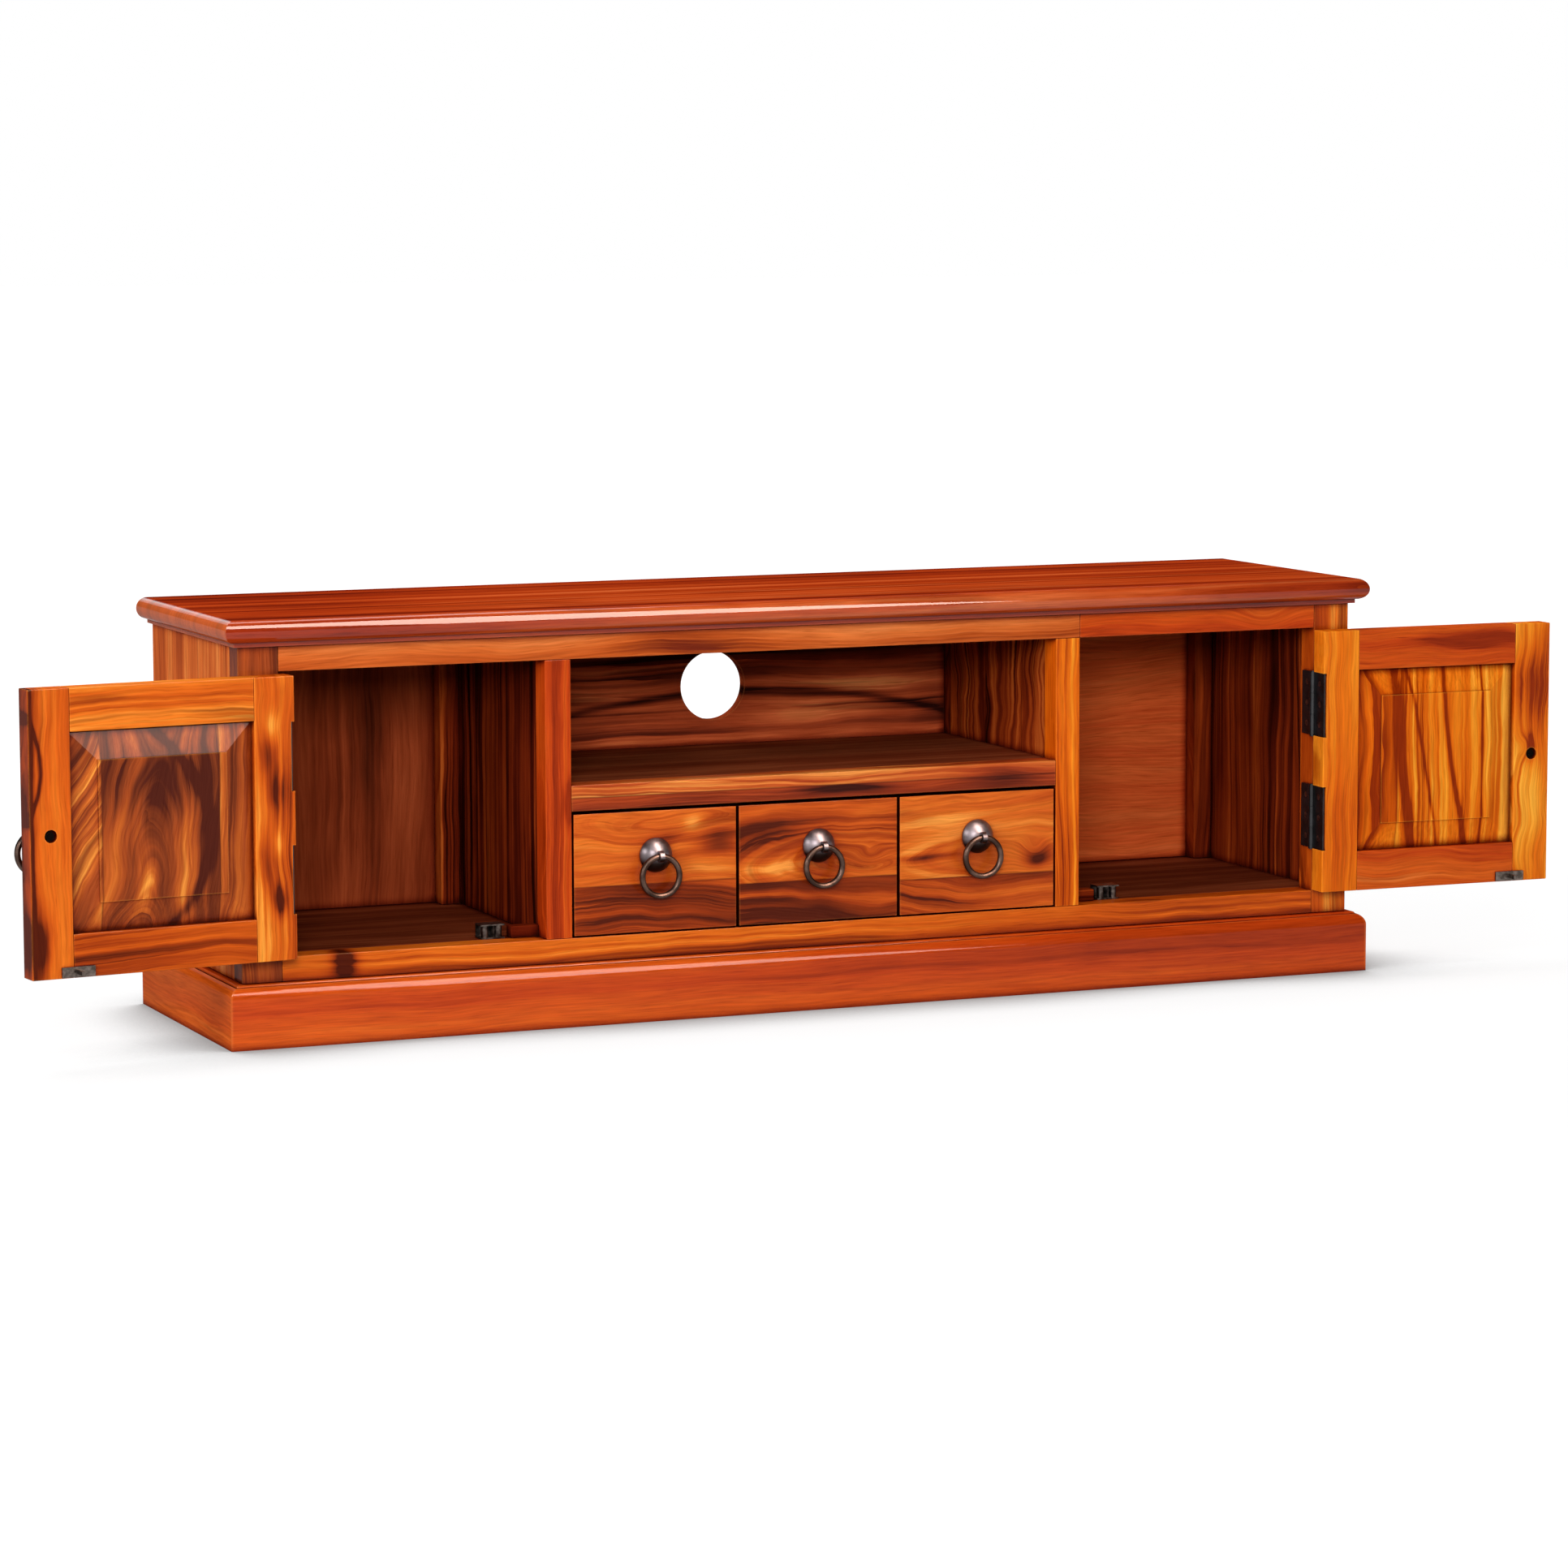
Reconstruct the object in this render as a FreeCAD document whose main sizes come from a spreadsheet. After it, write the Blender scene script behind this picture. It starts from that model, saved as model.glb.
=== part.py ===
import FreeCAD, Part
import math
import os
from collections import namedtuple

import Sketcher

# Low cabinet for a television: solid wood carcass with a face frame, two
# hinged doors, an open bay over three drawers, and a moulded plinth.
# X runs along the length, the front faces -Y, Z is up and the floor is Z 0.

SIZES = (
    # Whole cabinet
    ("total_length", 1200),
    ("total_depth", 300),
    ("total_height", 400),
    ("overhang", 16),
    ("edge_ease", 0.8),
    # Top board: half-round nose above a square step
    ("top_thickness", 25),
    ("nose_height", 21),
    ("step_inset", 11),
    # Plinth boards and the moulding along their upper edge
    ("plinth_height", 60),
    ("plinth_board", 22),
    ("round_width", 7),
    ("round_height", 10.5),
    ("quirk_width", 1.5),
    ("bead_rise", 2.2),
    ("plinth_back_board", 18),
    ("bearer_width", 40),
    ("block_size", 30),
    ("block_lift", 6),
    # Face frame
    ("frame_depth", 26),
    ("post_width", 39),
    ("niche_width", 512),
    ("stile_width", 26),
    ("top_rail_height", 24),
    ("bottom_rail_height", 23.5),
    ("shelf_height", 230),
    ("shelf_rail_height", 25),
    # Carcass boards
    ("panel_thickness", 18),
    ("shelf_thickness", 18),
    ("back_ply", 5),
    ("back_board", 12),
    ("batten_size", 20),
    ("cable_hole_radius", 35),
    ("cable_hole_rise", 60),
    # Drawers
    ("drawer_side_gap", 2),
    ("drawer_between_gap", 3),
    ("drawer_top_gap", 3),
    ("drawer_low_gap", 1.5),
    ("drawer_front", 18),
    ("drawer_wall", 12),
    ("drawer_bottom", 5),
    ("bottom_lift", 8),
    ("bottom_groove", 5),
    ("drawer_side_height", 112),
    ("drawer_back_drop", 10),
    ("drawer_pull_rise", 74),
    ("partition_thickness", 15),
    ("guide_height", 20),
    ("runner_gap", 1.2),
    ("slide_gap", 0.3),
    # Doors
    ("door_gap", 1.5),
    ("door_thickness", 22),
    ("door_stile", 40),
    ("door_rail", 40),
    ("door_groove", 8),
    ("tongue", 6),
    ("panel_play", 0.6),
    ("bevel_width", 27),
    ("field_recess", 1.5),
    ("field_step", 1.4),
    ("door_pull_drop", 1.5),
    ("left_open_angle", 174),
    ("right_open_angle", 179),
    # Butt hinges and their screws
    ("hinge_height", 64),
    ("hinge_spacing", 115),
    ("leaf_width", 19.5),
    ("leaf_thickness", 2),
    ("leaf_gap", 1),
    ("mortise_gap", 0.3),
    ("barrel_radius", 3.2),
    ("barrel_gap", 0.3),
    ("pin_radius", 1.5),
    ("pin_gap", 0.05),
    ("pin_head_radius", 2.6),
    ("pin_head_height", 1.2),
    ("screw_pitch", 21),
    ("screw_radius", 1.5),
    ("screw_head_radius", 3),
    ("screw_length", 14),
    ("screw_gap", 0.05),
    # Ring pulls
    ("rosette_radius", 16.5),
    ("rosette_height", 10.5),
    ("rosette_rim", 1.2),
    ("eye_reach", 13.8),
    ("eye_radius", 5.6),
    ("eye_width", 4.5),
    ("neck_radius", 2.4),
    ("ring_radius", 19),
    ("ring_wire_radius", 2.9),
    ("ring_gap", 0.3),
    ("bolt_radius", 2),
    ("bolt_gap", 0.1),
    ("bolt_short", 2),
    ("nut_corner_radius", 4.6),
    ("nut_height", 3.5),
    ("counterbore_radius", 6),
    ("counterbore_depth", 6),
    # Roller catches, strikes and stops
    ("catch_width", 24),
    ("catch_depth", 16),
    ("catch_height", 14),
    ("catch_sheet", 1.4),
    ("catch_setback", 4),
    ("roller_radius", 3.6),
    ("roller_opening", 6.4),
    ("roller_setback", 0.5),
    ("strike_inset", 44),
    ("strike_width", 32),
    ("strike_height", 9.5),
    ("strike_sheet", 1.5),
    ("spear_length", 12),
    ("spear_width", 2.6),
    ("spear_head_width", 3.4),
    ("spear_head_length", 4),
    ("spear_thickness", 4),
    ("stop_length", 28),
    ("stop_depth", 14),
    ("stop_height", 11.5),
    ("stop_gap", 0.3),
)

SIDES = {"left": -1, "right": 1}
DRAWERS = {"left": -1, "centre": 0, "right": 1}
HINGES = (-1, 1)
SCREWS = (-1, 0, 1)
BOX_EDGES = 12


class Size:
    """A length kept as a number and as the sheet expression behind it."""

    def __init__(self, value, text):
        self.value = value
        self.text = text

    def joined(self, other, sign, value):
        return Size(value, f"({self.text} {sign} {other.text})")

    def __add__(self, other):
        other = sized(other)
        return self.joined(other, "+", self.value + other.value)

    def __sub__(self, other):
        other = sized(other)
        return self.joined(other, "-", self.value - other.value)

    def __mul__(self, other):
        other = sized(other)
        return self.joined(other, "*", self.value * other.value)

    def __truediv__(self, other):
        other = sized(other)
        return self.joined(other, "/", self.value / other.value)

    def __neg__(self):
        return Size(-self.value, f"(-{self.text})")


def sized(number):
    """A Size for a Size or for a plain count or sign."""
    if isinstance(number, Size):
        return number
    return Size(float(number), f"({number})")


doc = FreeCAD.newDocument("tv_stand")
sheet = doc.addObject("Spreadsheet::Sheet", "Sizes")
for row, (alias, number) in enumerate(SIZES, start=1):
    sheet.set(f"A{row}", alias.replace("_", " "))
    sheet.set(f"B{row}", str(number))
    sheet.setAlias(f"B{row}", alias)
doc.recompute()

aliases = [alias for alias, number in SIZES]
S = namedtuple("Sheet", aliases)(*[Size(float(number), f"Sizes.{alias}") for alias, number in SIZES])
ZERO = sized(0)

# Planes that several pieces share
HALF = S.total_length / 2
FRONT = S.overhang - S.total_depth / 2
BACK = S.total_depth / 2
CARCASS = HALF - S.overhang
POST_IN = CARCASS - S.post_width
FRAME_BACK = FRONT + S.frame_depth
STILE_IN = S.niche_width / 2
STILE_OUT = STILE_IN + S.stile_width
SIDE_IN = CARCASS - S.panel_thickness
DIVIDER_IN = STILE_IN + (S.stile_width - S.panel_thickness) / 2
DIVIDER_OUT = DIVIDER_IN + S.panel_thickness
FLOOR = S.plinth_height + S.bottom_rail_height
UNDER_TOP = S.total_height - S.top_thickness
LINTEL = UNDER_TOP - S.top_rail_height
SHELF_LOW = S.shelf_height - S.shelf_rail_height
SHELF_UNDER = S.shelf_height - S.shelf_thickness
BAY_BACK = BACK - S.back_board

# Drawers
FRONT_WIDTH = (S.niche_width - S.drawer_side_gap * 2 - S.drawer_between_gap * 2) / 3
PITCH = FRONT_WIDTH + S.drawer_between_gap
BOX_HALF = PITCH / 2 - S.partition_thickness / 2 - S.runner_gap
BOX_LOW = FLOOR + S.slide_gap
BOX_TOP = BOX_LOW + S.drawer_side_height
BOX_BACK = BAY_BACK - S.slide_gap
BOX_FRONT = FRONT + S.drawer_front
DRAWER_LOW = FLOOR + S.drawer_low_gap
DRAWER_HIGH = SHELF_LOW - S.drawer_top_gap

# Doors: EDGE_ names run along the door from the hinge axis, FACE_ names
# run inwards from it
LEAF_NEAR = S.leaf_gap / 2
LEAF_FAR = LEAF_NEAR + S.leaf_thickness
FACE_OUT = S.barrel_radius + S.barrel_gap
FACE_IN = FACE_OUT + S.door_thickness
FACE_MID = FACE_OUT + S.door_thickness / 2
HINGE_X = POST_IN - LEAF_FAR
HINGE_Y = FRONT - FACE_OUT
EDGE_HINGE = S.door_gap - LEAF_FAR
EDGE_FREE = HINGE_X - STILE_OUT - S.door_gap
DOOR_LOW = FLOOR + S.door_gap
DOOR_HIGH = LINTEL - S.door_gap
DOOR_MID = (DOOR_LOW + DOOR_HIGH) / 2
OPENING_HINGE = EDGE_HINGE + S.door_stile
OPENING_FREE = EDGE_FREE - S.door_stile
OPENING_LOW = DOOR_LOW + S.door_rail
OPENING_HIGH = DOOR_HIGH - S.door_rail
SPEAR_EDGE = EDGE_FREE - S.strike_inset
SPEAR_Z = FLOOR + S.catch_height / 2
KNUCKLE = (S.hinge_height - S.barrel_gap * 2) / 3

parts = {}


def bind(solid, prop, size):
    """Tie a property of the solid to the sheet."""
    solid.setExpression(prop, sized(size).text)


def place(solid, x, y, z):
    """Tie the solid's position to the sheet."""
    for letter, size in zip("xyz", (x, y, z)):
        bind(solid, f"Placement.Base.{letter}", size)


def turn(solid, axis, angle):
    """Turn a primitive from its own Z axis before it is placed."""
    solid.Placement = FreeCAD.Placement(FreeCAD.Vector(), FreeCAD.Rotation(FreeCAD.Vector(*axis), angle))


X_AXIS = (1, 0, 0)
Y_AXIS = (0, 1, 0)
QUARTER = 90


def block(x, y, z):
    """Block between a low and a high limit along each axis."""
    solid = doc.addObject("Part::Box", "block")
    for prop, (low, high) in zip(("Length", "Width", "Height"), (x, y, z)):
        bind(solid, prop, sized(high) - low)
    place(solid, x[0], y[0], z[0])
    return solid


def board(x, y, z):
    """Block of wood with its edges eased."""
    solid = doc.addObject("Part::Fillet", "board")
    solid.Base = block(x, y, z)
    ease = S.edge_ease.value
    solid.Edges = [(edge, ease, ease) for edge in range(1, BOX_EDGES + 1)]
    return solid


def rod(radius, length, at, axis=None, angle=0):
    """Cylinder from a point, along Z or along the turned axis."""
    solid = doc.addObject("Part::Cylinder", "rod")
    bind(solid, "Radius", radius)
    bind(solid, "Height", length)
    if axis:
        turn(solid, axis, angle)
    place(solid, *at)
    return solid


def fuse(solids):
    """One solid from touching or overlapping pieces."""
    whole = doc.addObject("Part::MultiFuse", "fused")
    whole.Shapes = solids
    return whole


def cut(base, tools):
    """The base with the tools taken away."""
    rest = doc.addObject("Part::Cut", "cut")
    rest.Base = base
    rest.Tool = tools[0] if len(tools) == 1 else fuse(tools)
    return rest


def group(solids):
    """Separate solids kept in one node."""
    several = doc.addObject("Part::Compound", "group")
    several.Links = solids
    return several


def keep(node, solid):
    """Name a finished sub-part."""
    solid.Label = node
    parts[node] = solid
    return solid


def mirror(sign, low, high):
    """Limits along X on the right for +1, and mirrored for -1."""
    if sign > 0:
        return (low, high)
    return (-high, -low)


def both(size):
    """Limits at equal distances either side of the middle."""
    return (-size, size)


def around(middle, width):
    """Limits of a width centred on a middle."""
    return (middle - width / 2, middle + width / 2)


# Moulded boards

def origin_plane(body, role):
    """One of the body's own origin planes."""
    return next(item for item in body.Origin.OriginFeatures if item.Role == role)


def arc_middle(start, end, letter, size):
    """Centre of an arc through two points when one of its coordinates is known."""
    (ax, ay), (bx, by) = start, end
    chord = (bx * bx - ax * ax + by * by - ay * ay) / 2
    if letter == "X":
        return (size, (chord - size * (bx - ax)) / (by - ay))
    return ((chord - size * (by - ay)) / (bx - ax), size)


def outline(body, role, points, arcs):
    """Closed sketch, run anticlockwise through the points.

    arcs maps a side's index to the letter and the size of its centre's known
    coordinate. An arc bulges outwards.
    """
    sketch = body.newObject("Sketcher::SketchObject", "outline")
    sketch.AttachmentSupport = [(origin_plane(body, role), "")]
    sketch.MapMode = "FlatFace"
    plain = [(x.value, y.value) for x, y in points]
    count = len(points)
    for side in range(count):
        start = plain[side]
        end = plain[(side + 1) % count]
        if side in arcs:
            letter, size = arcs[side]
            middle = arc_middle(start, end, letter, size.value)
            circle = Part.Circle()
            circle.Center = FreeCAD.Vector(*middle)
            circle.Radius = math.dist(middle, start)
            angles = [math.atan2(y - middle[1], x - middle[0]) for x, y in (start, end)]
            sketch.addGeometry(Part.ArcOfCircle(circle, *angles))
        else:
            sketch.addGeometry(Part.LineSegment(FreeCAD.Vector(*start), FreeCAD.Vector(*end)))
    for side in range(count):
        sketch.addConstraint(Sketcher.Constraint("Coincident", side, 2, (side + 1) % count, 1))
    for side, (x, y) in enumerate(points):
        for letter, size in (("X", x), ("Y", y)):
            pinned(sketch, letter, side, 1, size)
    for side, (letter, size) in arcs.items():
        pinned(sketch, letter, side, 3, size)
    return sketch


def pinned(sketch, letter, side, point, size):
    """Hold one coordinate of a sketch point at a size from the sheet."""
    limit = Sketcher.Constraint(f"Distance{letter}", -1, 1, side, point, size.value)
    index = sketch.addConstraint(limit)
    sketch.setExpression(f"Constraints[{index}]", size.text)


def pad(body, sketch, length):
    """Pad a sketch the same way to both sides."""
    feature = body.newObject("PartDesign::Pad", "pad")
    feature.Profile = sketch
    feature.SideType = "Symmetric"
    bind(feature, "Length", length)
    return feature


def pocket(body, sketch):
    """Cut a sketch right through, both ways."""
    feature = body.newObject("PartDesign::Pocket", "pocket")
    feature.Profile = sketch
    feature.SideType = "Symmetric"
    feature.Type = "ThroughAll"
    return feature


NOSE = S.nose_height / 2
NOSE_LOW = S.total_height - S.nose_height


def make_top():
    """Top board: the nose runs along the front and round both ends."""
    body = doc.addObject("PartDesign::Body", "top_board")
    nose_start = NOSE - BACK
    step = S.step_inset - BACK
    section = [
        (step, UNDER_TOP),
        (BACK, UNDER_TOP),
        (BACK, S.total_height),
        (nose_start, S.total_height),
        (nose_start, NOSE_LOW),
        (step, NOSE_LOW),
    ]
    pad(body, outline(body, "YZ_Plane", section, {3: ("X", nose_start)}), S.total_length)
    beyond = HALF + S.overhang
    above = S.total_height + S.overhang
    below = UNDER_TOP - S.overhang
    nose_end = HALF - NOSE
    step_end = HALF - S.step_inset
    for sign in SIDES.values():
        waste = [
            (step_end, NOSE_LOW),
            (step_end, below),
            (beyond, below),
            (beyond, above),
            (nose_end, above),
            (nose_end, S.total_height),
            (nose_end, NOSE_LOW),
        ]
        end_waste(body, sign, waste)
    return keep("top_board", body)


def end_waste(body, sign, waste):
    """Cut the shape of the nose into one end of the top board."""
    sketch = body.newObject("Sketcher::SketchObject", "nose")
    sketch.AttachmentSupport = [(origin_plane(body, "XZ_Plane"), "")]
    sketch.MapMode = "FlatFace"
    points = [(x * sign, z) for x, z in waste]
    count = len(points)
    hollow = count - 2
    middle = FreeCAD.Vector(points[hollow][0].value, (NOSE_LOW + NOSE).value)
    for side in range(count):
        start = FreeCAD.Vector(points[side][0].value, points[side][1].value)
        last = points[(side + 1) % count]
        end = FreeCAD.Vector(last[0].value, last[1].value)
        if side == hollow:
            circle = Part.Circle()
            circle.Center = middle
            circle.Radius = NOSE.value
            quarter = math.pi / 2
            turns = (-quarter, quarter) if sign > 0 else (quarter, quarter * 3)
            sketch.addGeometry(Part.ArcOfCircle(circle, *turns))
        else:
            sketch.addGeometry(Part.LineSegment(start, end))
    swapped = hollow if sign > 0 else None
    for side in range(count):
        after = (side + 1) % count
        leaving = 1 if side == swapped else 2
        entering = 2 if after == swapped else 1
        sketch.addConstraint(Sketcher.Constraint("Coincident", side, leaving, after, entering))
    for side, (x, z) in enumerate(points):
        point = 2 if side == swapped else 1
        pinned(sketch, "X", side, point, x)
        pinned(sketch, "Y", side, point, z)
    pinned(sketch, "X", hollow, 3, points[hollow][0])
    pocket(body, sketch)


def plinth_section(outer, inward):
    """Section of a moulded plinth board from its outer face inwards."""
    round_low = S.plinth_height - S.bead_rise - S.round_height
    round_high = S.plinth_height - S.bead_rise
    quirk_low = round_high - S.quirk_width
    quirk = S.round_width + S.quirk_width
    bead = quirk + S.bead_rise
    steps = [
        (ZERO, ZERO),
        (S.plinth_board, ZERO),
        (S.plinth_board, S.plinth_height),
        (bead, S.plinth_height),
        (quirk, round_high),
        (quirk, quirk_low),
        (S.round_width, quirk_low),
        (S.round_width, round_high),
        (ZERO, round_low),
    ]
    points = [(outer + depth * inward, z) for depth, z in steps]
    return points, {3: ("Y", round_high), 7: ("Y", round_low)}


def flipped(points, arcs):
    """The same closed outline run the other way round."""
    last = len(points) - 1
    order = [points[0]] + points[:0:-1]
    return order, {last - side: known for side, known in arcs.items()}


def mitre(body, corners):
    """Cut one mitred end, given its outline in plan."""
    pocket(body, outline(body, "XY_Plane", corners, {}))


def make_plinth():
    """Moulded plinth on three sides, a plain board behind, bearers inside."""
    inner_x = HALF - S.plinth_board
    inner_y = S.plinth_board - BACK
    body = doc.addObject("PartDesign::Body", "plinth_front")
    pad(body, outline(body, "YZ_Plane", *plinth_section(-BACK, 1)), S.total_length)
    mitre(body, [(HALF, -BACK), (HALF, inner_y), (inner_x, inner_y)])
    mitre(body, [(-HALF, -BACK), (-inner_x, inner_y), (-HALF, inner_y)])
    keep("plinth_front", body)
    for side, sign in SIDES.items():
        body = doc.addObject("PartDesign::Body", f"plinth_{side}")
        section = plinth_section(HALF * sign, -sign)
        if sign > 0:
            section = flipped(*section)
        pad(body, outline(body, "XZ_Plane", *section), S.total_depth)
        corners = [(HALF * sign, -BACK), (inner_x * sign, inner_y), (inner_x * sign, -BACK)]
        if sign < 0:
            corners = corners[:1] + corners[:0:-1]
        mitre(body, corners)
        keep(f"plinth_{side}", body)
    back_in = BACK - S.plinth_back_board
    keep("plinth_back", board(both(inner_x), (back_in, BACK), (ZERO, S.plinth_height)))
    pieces = [block(both(S.bearer_width / 2), (inner_y, back_in), (ZERO, S.plinth_height))]
    for sign in SIDES.values():
        across = mirror(sign, inner_x - S.block_size, inner_x)
        for along in ((inner_y, inner_y + S.block_size), (back_in - S.block_size, back_in)):
            pieces.append(block(across, along, (S.block_lift, S.plinth_height)))
    keep("plinth_bearers", group(pieces))


# Hardware

def knuckles(levels, middle, x, plate, reach):
    """Barrels of one leaf, each with the tab that joins it to the plate."""
    low = middle - S.hinge_height / 2
    pieces = []
    for level in levels:
        start = low + (KNUCKLE + S.barrel_gap) * level
        pieces.append(rod(S.barrel_radius, KNUCKLE, (x, reach[0], start)))
        pieces.append(block(plate, reach, (start, start + KNUCKLE)))
    return pieces


def leaf(levels, middle, x, plate, reach, holes):
    """Hinge leaf: plate, barrels, pin bore and countersunk holes."""
    height = (middle - S.hinge_height / 2, middle + S.hinge_height / 2)
    flat = block(plate, (reach[1], reach[1] + S.leaf_width), height)
    whole = fuse([flat] + knuckles(levels, middle, x, plate, reach))
    bore = rod(S.pin_radius + S.pin_gap, S.hinge_height, (x, reach[0], height[0]))
    return cut(whole, [bore] + holes)


def screw(start, sign, grow):
    """Countersunk screw along X from its head's face; grow widens it to a hole."""
    angle = QUARTER * sign
    head = doc.addObject("Part::Cone", "head")
    bind(head, "Radius1", S.screw_head_radius + grow)
    bind(head, "Radius2", S.screw_radius + grow)
    bind(head, "Height", S.leaf_thickness)
    turn(head, Y_AXIS, angle)
    place(head, *start)
    return fuse([head, rod(S.screw_radius + grow, S.screw_length + grow, start, Y_AXIS, angle)])


def screw_rows(x, y, middle):
    """Points of the screws in one leaf."""
    return [(x, y, middle + S.screw_pitch * row) for row in SCREWS]


def hinge_middles():
    """Heights of the middles of one door's two hinges."""
    return [DOOR_MID + S.hinge_spacing / 2 * level for level in HINGES]


Pull = namedtuple("Pull", "hardware holes ring")


def make_pull(x, face, z, depth):
    """Domed rosette with an eye, its bolt and nut, the holes they need and the ring."""
    inner = face + depth
    seat = inner - S.counterbore_depth
    cap = S.rosette_height - S.rosette_rim
    curve = (S.rosette_radius * S.rosette_radius + cap * cap) / (cap * 2)
    sunk = curve - cap
    dome = doc.addObject("Part::Sphere", "dome")
    bind(dome, "Radius", curve)
    latitude = sunk / curve
    bind(dome, "Angle1", Size(math.degrees(math.asin(latitude.value)), f"asin({latitude.text})"))
    turn(dome, X_AXIS, QUARTER)
    place(dome, x, face - S.rosette_rim + sunk, z)
    rim = rod(S.rosette_radius, S.rosette_rim, (x, face, z), X_AXIS, QUARTER)
    wire_hole = S.ring_wire_radius + S.ring_gap
    eye_y = face - S.eye_reach
    neck_end = S.eye_reach - (wire_hole + S.eye_radius) / 2
    neck = rod(S.neck_radius, neck_end, (x, face, z), X_AXIS, QUARTER)
    eye_start = (x - S.eye_width / 2, eye_y, z)
    eye = rod(S.eye_radius, S.eye_width, eye_start, Y_AXIS, QUARTER)
    start = (x, face - S.rosette_rim, z)
    bolt = rod(S.bolt_radius, depth + S.rosette_rim - S.bolt_short, start, X_AXIS, -QUARTER)
    bore = rod(wire_hole, S.eye_width, eye_start, Y_AXIS, QUARTER)
    rosette = cut(fuse([rim, dome, neck, eye, bolt]), [bore])
    nut = doc.addObject("Part::Prism", "nut")
    bind(nut, "Circumradius", S.nut_corner_radius)
    bind(nut, "Height", S.nut_height)
    turn(nut, X_AXIS, -QUARTER)
    place(nut, x, seat, z)
    thread = rod(S.bolt_radius + S.pin_gap, S.nut_height, (x, seat, z), X_AXIS, -QUARTER)
    holes = [
        rod(S.bolt_radius + S.bolt_gap, depth, (x, face, z), X_AXIS, -QUARTER),
        rod(S.counterbore_radius, S.counterbore_depth, (x, seat, z), X_AXIS, -QUARTER),
    ]
    ring = doc.addObject("Part::Torus", "ring")
    bind(ring, "Radius1", S.ring_radius)
    bind(ring, "Radius2", S.ring_wire_radius)
    turn(ring, X_AXIS, QUARTER)
    place(ring, x, eye_y, z - S.ring_radius)
    return Pull(group([rosette, cut(nut, [thread])]), holes, ring)


def make_catch(sign):
    """Roller catch on the floor board: folded bracket and two rollers."""
    middle = (HINGE_X - SPEAR_EDGE) * sign
    across = around(middle, S.catch_width)
    near = FRONT + S.door_thickness + S.catch_setback
    far = near + S.catch_depth
    top = FLOOR + S.catch_height
    low_gap = FLOOR + S.catch_sheet
    high_gap = top - S.catch_sheet
    bracket = fuse([
        block(across, (near, far), (FLOOR, low_gap)),
        block(across, (near, far), (high_gap, top)),
        block(across, (far - S.catch_sheet, far), (FLOOR, top)),
    ])
    offset = S.roller_opening / 2 + S.roller_radius
    roller_y = near + S.roller_setback + S.roller_radius
    rollers = [
        rod(S.roller_radius, high_gap - low_gap, (middle + offset * end, roller_y, low_gap))
        for end in SIDES.values()
    ]
    return [bracket] + rollers


# Cabinet

def make_frame(pilots):
    """Face frame; pilots holds each post's screw holes."""
    y = (FRONT, FRAME_BACK)
    tall = (S.plinth_height, UNDER_TOP)
    rail = (LINTEL, UNDER_TOP)
    for side, sign in SIDES.items():
        post = board(mirror(sign, POST_IN, CARCASS), y, tall)
        keep(f"post_{side}", cut(post, pilots[side]))
        stile = board(mirror(sign, STILE_IN, STILE_OUT), y, (FLOOR, LINTEL))
        keep(f"divider_stile_{side}", stile)
    keep("top_rails", group([board((-POST_IN, STILE_OUT), y, rail), board((STILE_OUT, POST_IN), y, rail)]))
    keep("bottom_rail", board(both(POST_IN), y, (S.plinth_height, FLOOR)))
    keep("shelf_rail", board(both(STILE_IN), y, (SHELF_LOW, S.shelf_height)))


def make_carcass():
    """Boards behind the face frame."""
    deep = (FRAME_BACK, BACK)
    tall = (FLOOR, UNDER_TOP)
    ply = (BACK - S.back_ply, BACK)
    battens = []
    for side, sign in SIDES.items():
        keep(f"side_panel_{side}", board(mirror(sign, SIDE_IN, CARCASS), deep, (S.plinth_height, UNDER_TOP)))
        keep(f"divider_panel_{side}", board(mirror(sign, DIVIDER_IN, DIVIDER_OUT), deep, tall))
        keep(f"back_panel_{side}", board(mirror(sign, DIVIDER_OUT, SIDE_IN), ply, tall))
        for start in (DIVIDER_OUT, SIDE_IN - S.batten_size):
            corner = mirror(sign, start, start + S.batten_size)
            battens.append(board(corner, (ply[0] - S.batten_size, ply[0]), tall))
    keep("rear_battens", group(battens))
    keep("floor_board", board(both(SIDE_IN), deep, (S.plinth_height, FLOOR)))
    keep("shelf_board", board(both(DIVIDER_IN), (FRAME_BACK, BAY_BACK), (SHELF_UNDER, S.shelf_height)))
    centre = board(both(DIVIDER_IN), (BAY_BACK, BACK), tall)
    hole_start = (ZERO, BAY_BACK, S.shelf_height + S.cable_hole_rise)
    hole = rod(S.cable_hole_radius, S.back_board, hole_start, X_AXIS, -QUARTER)
    keep("back_panel_centre", cut(centre, [hole]))


def make_runners():
    """Partitions between the drawers and guides at the outer sides."""
    y = (FRAME_BACK, BAY_BACK)
    guide_in = PITCH + BOX_HALF + S.runner_gap
    pieces = []
    for sign in SIDES.values():
        partition = around(PITCH / 2 * sign, S.partition_thickness)
        pieces.append(block(partition, y, (FLOOR, SHELF_UNDER)))
        pieces.append(block(mirror(sign, guide_in, DIVIDER_IN), y, (FLOOR, FLOOR + S.guide_height)))
    keep("drawer_runners", group(pieces))


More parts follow.
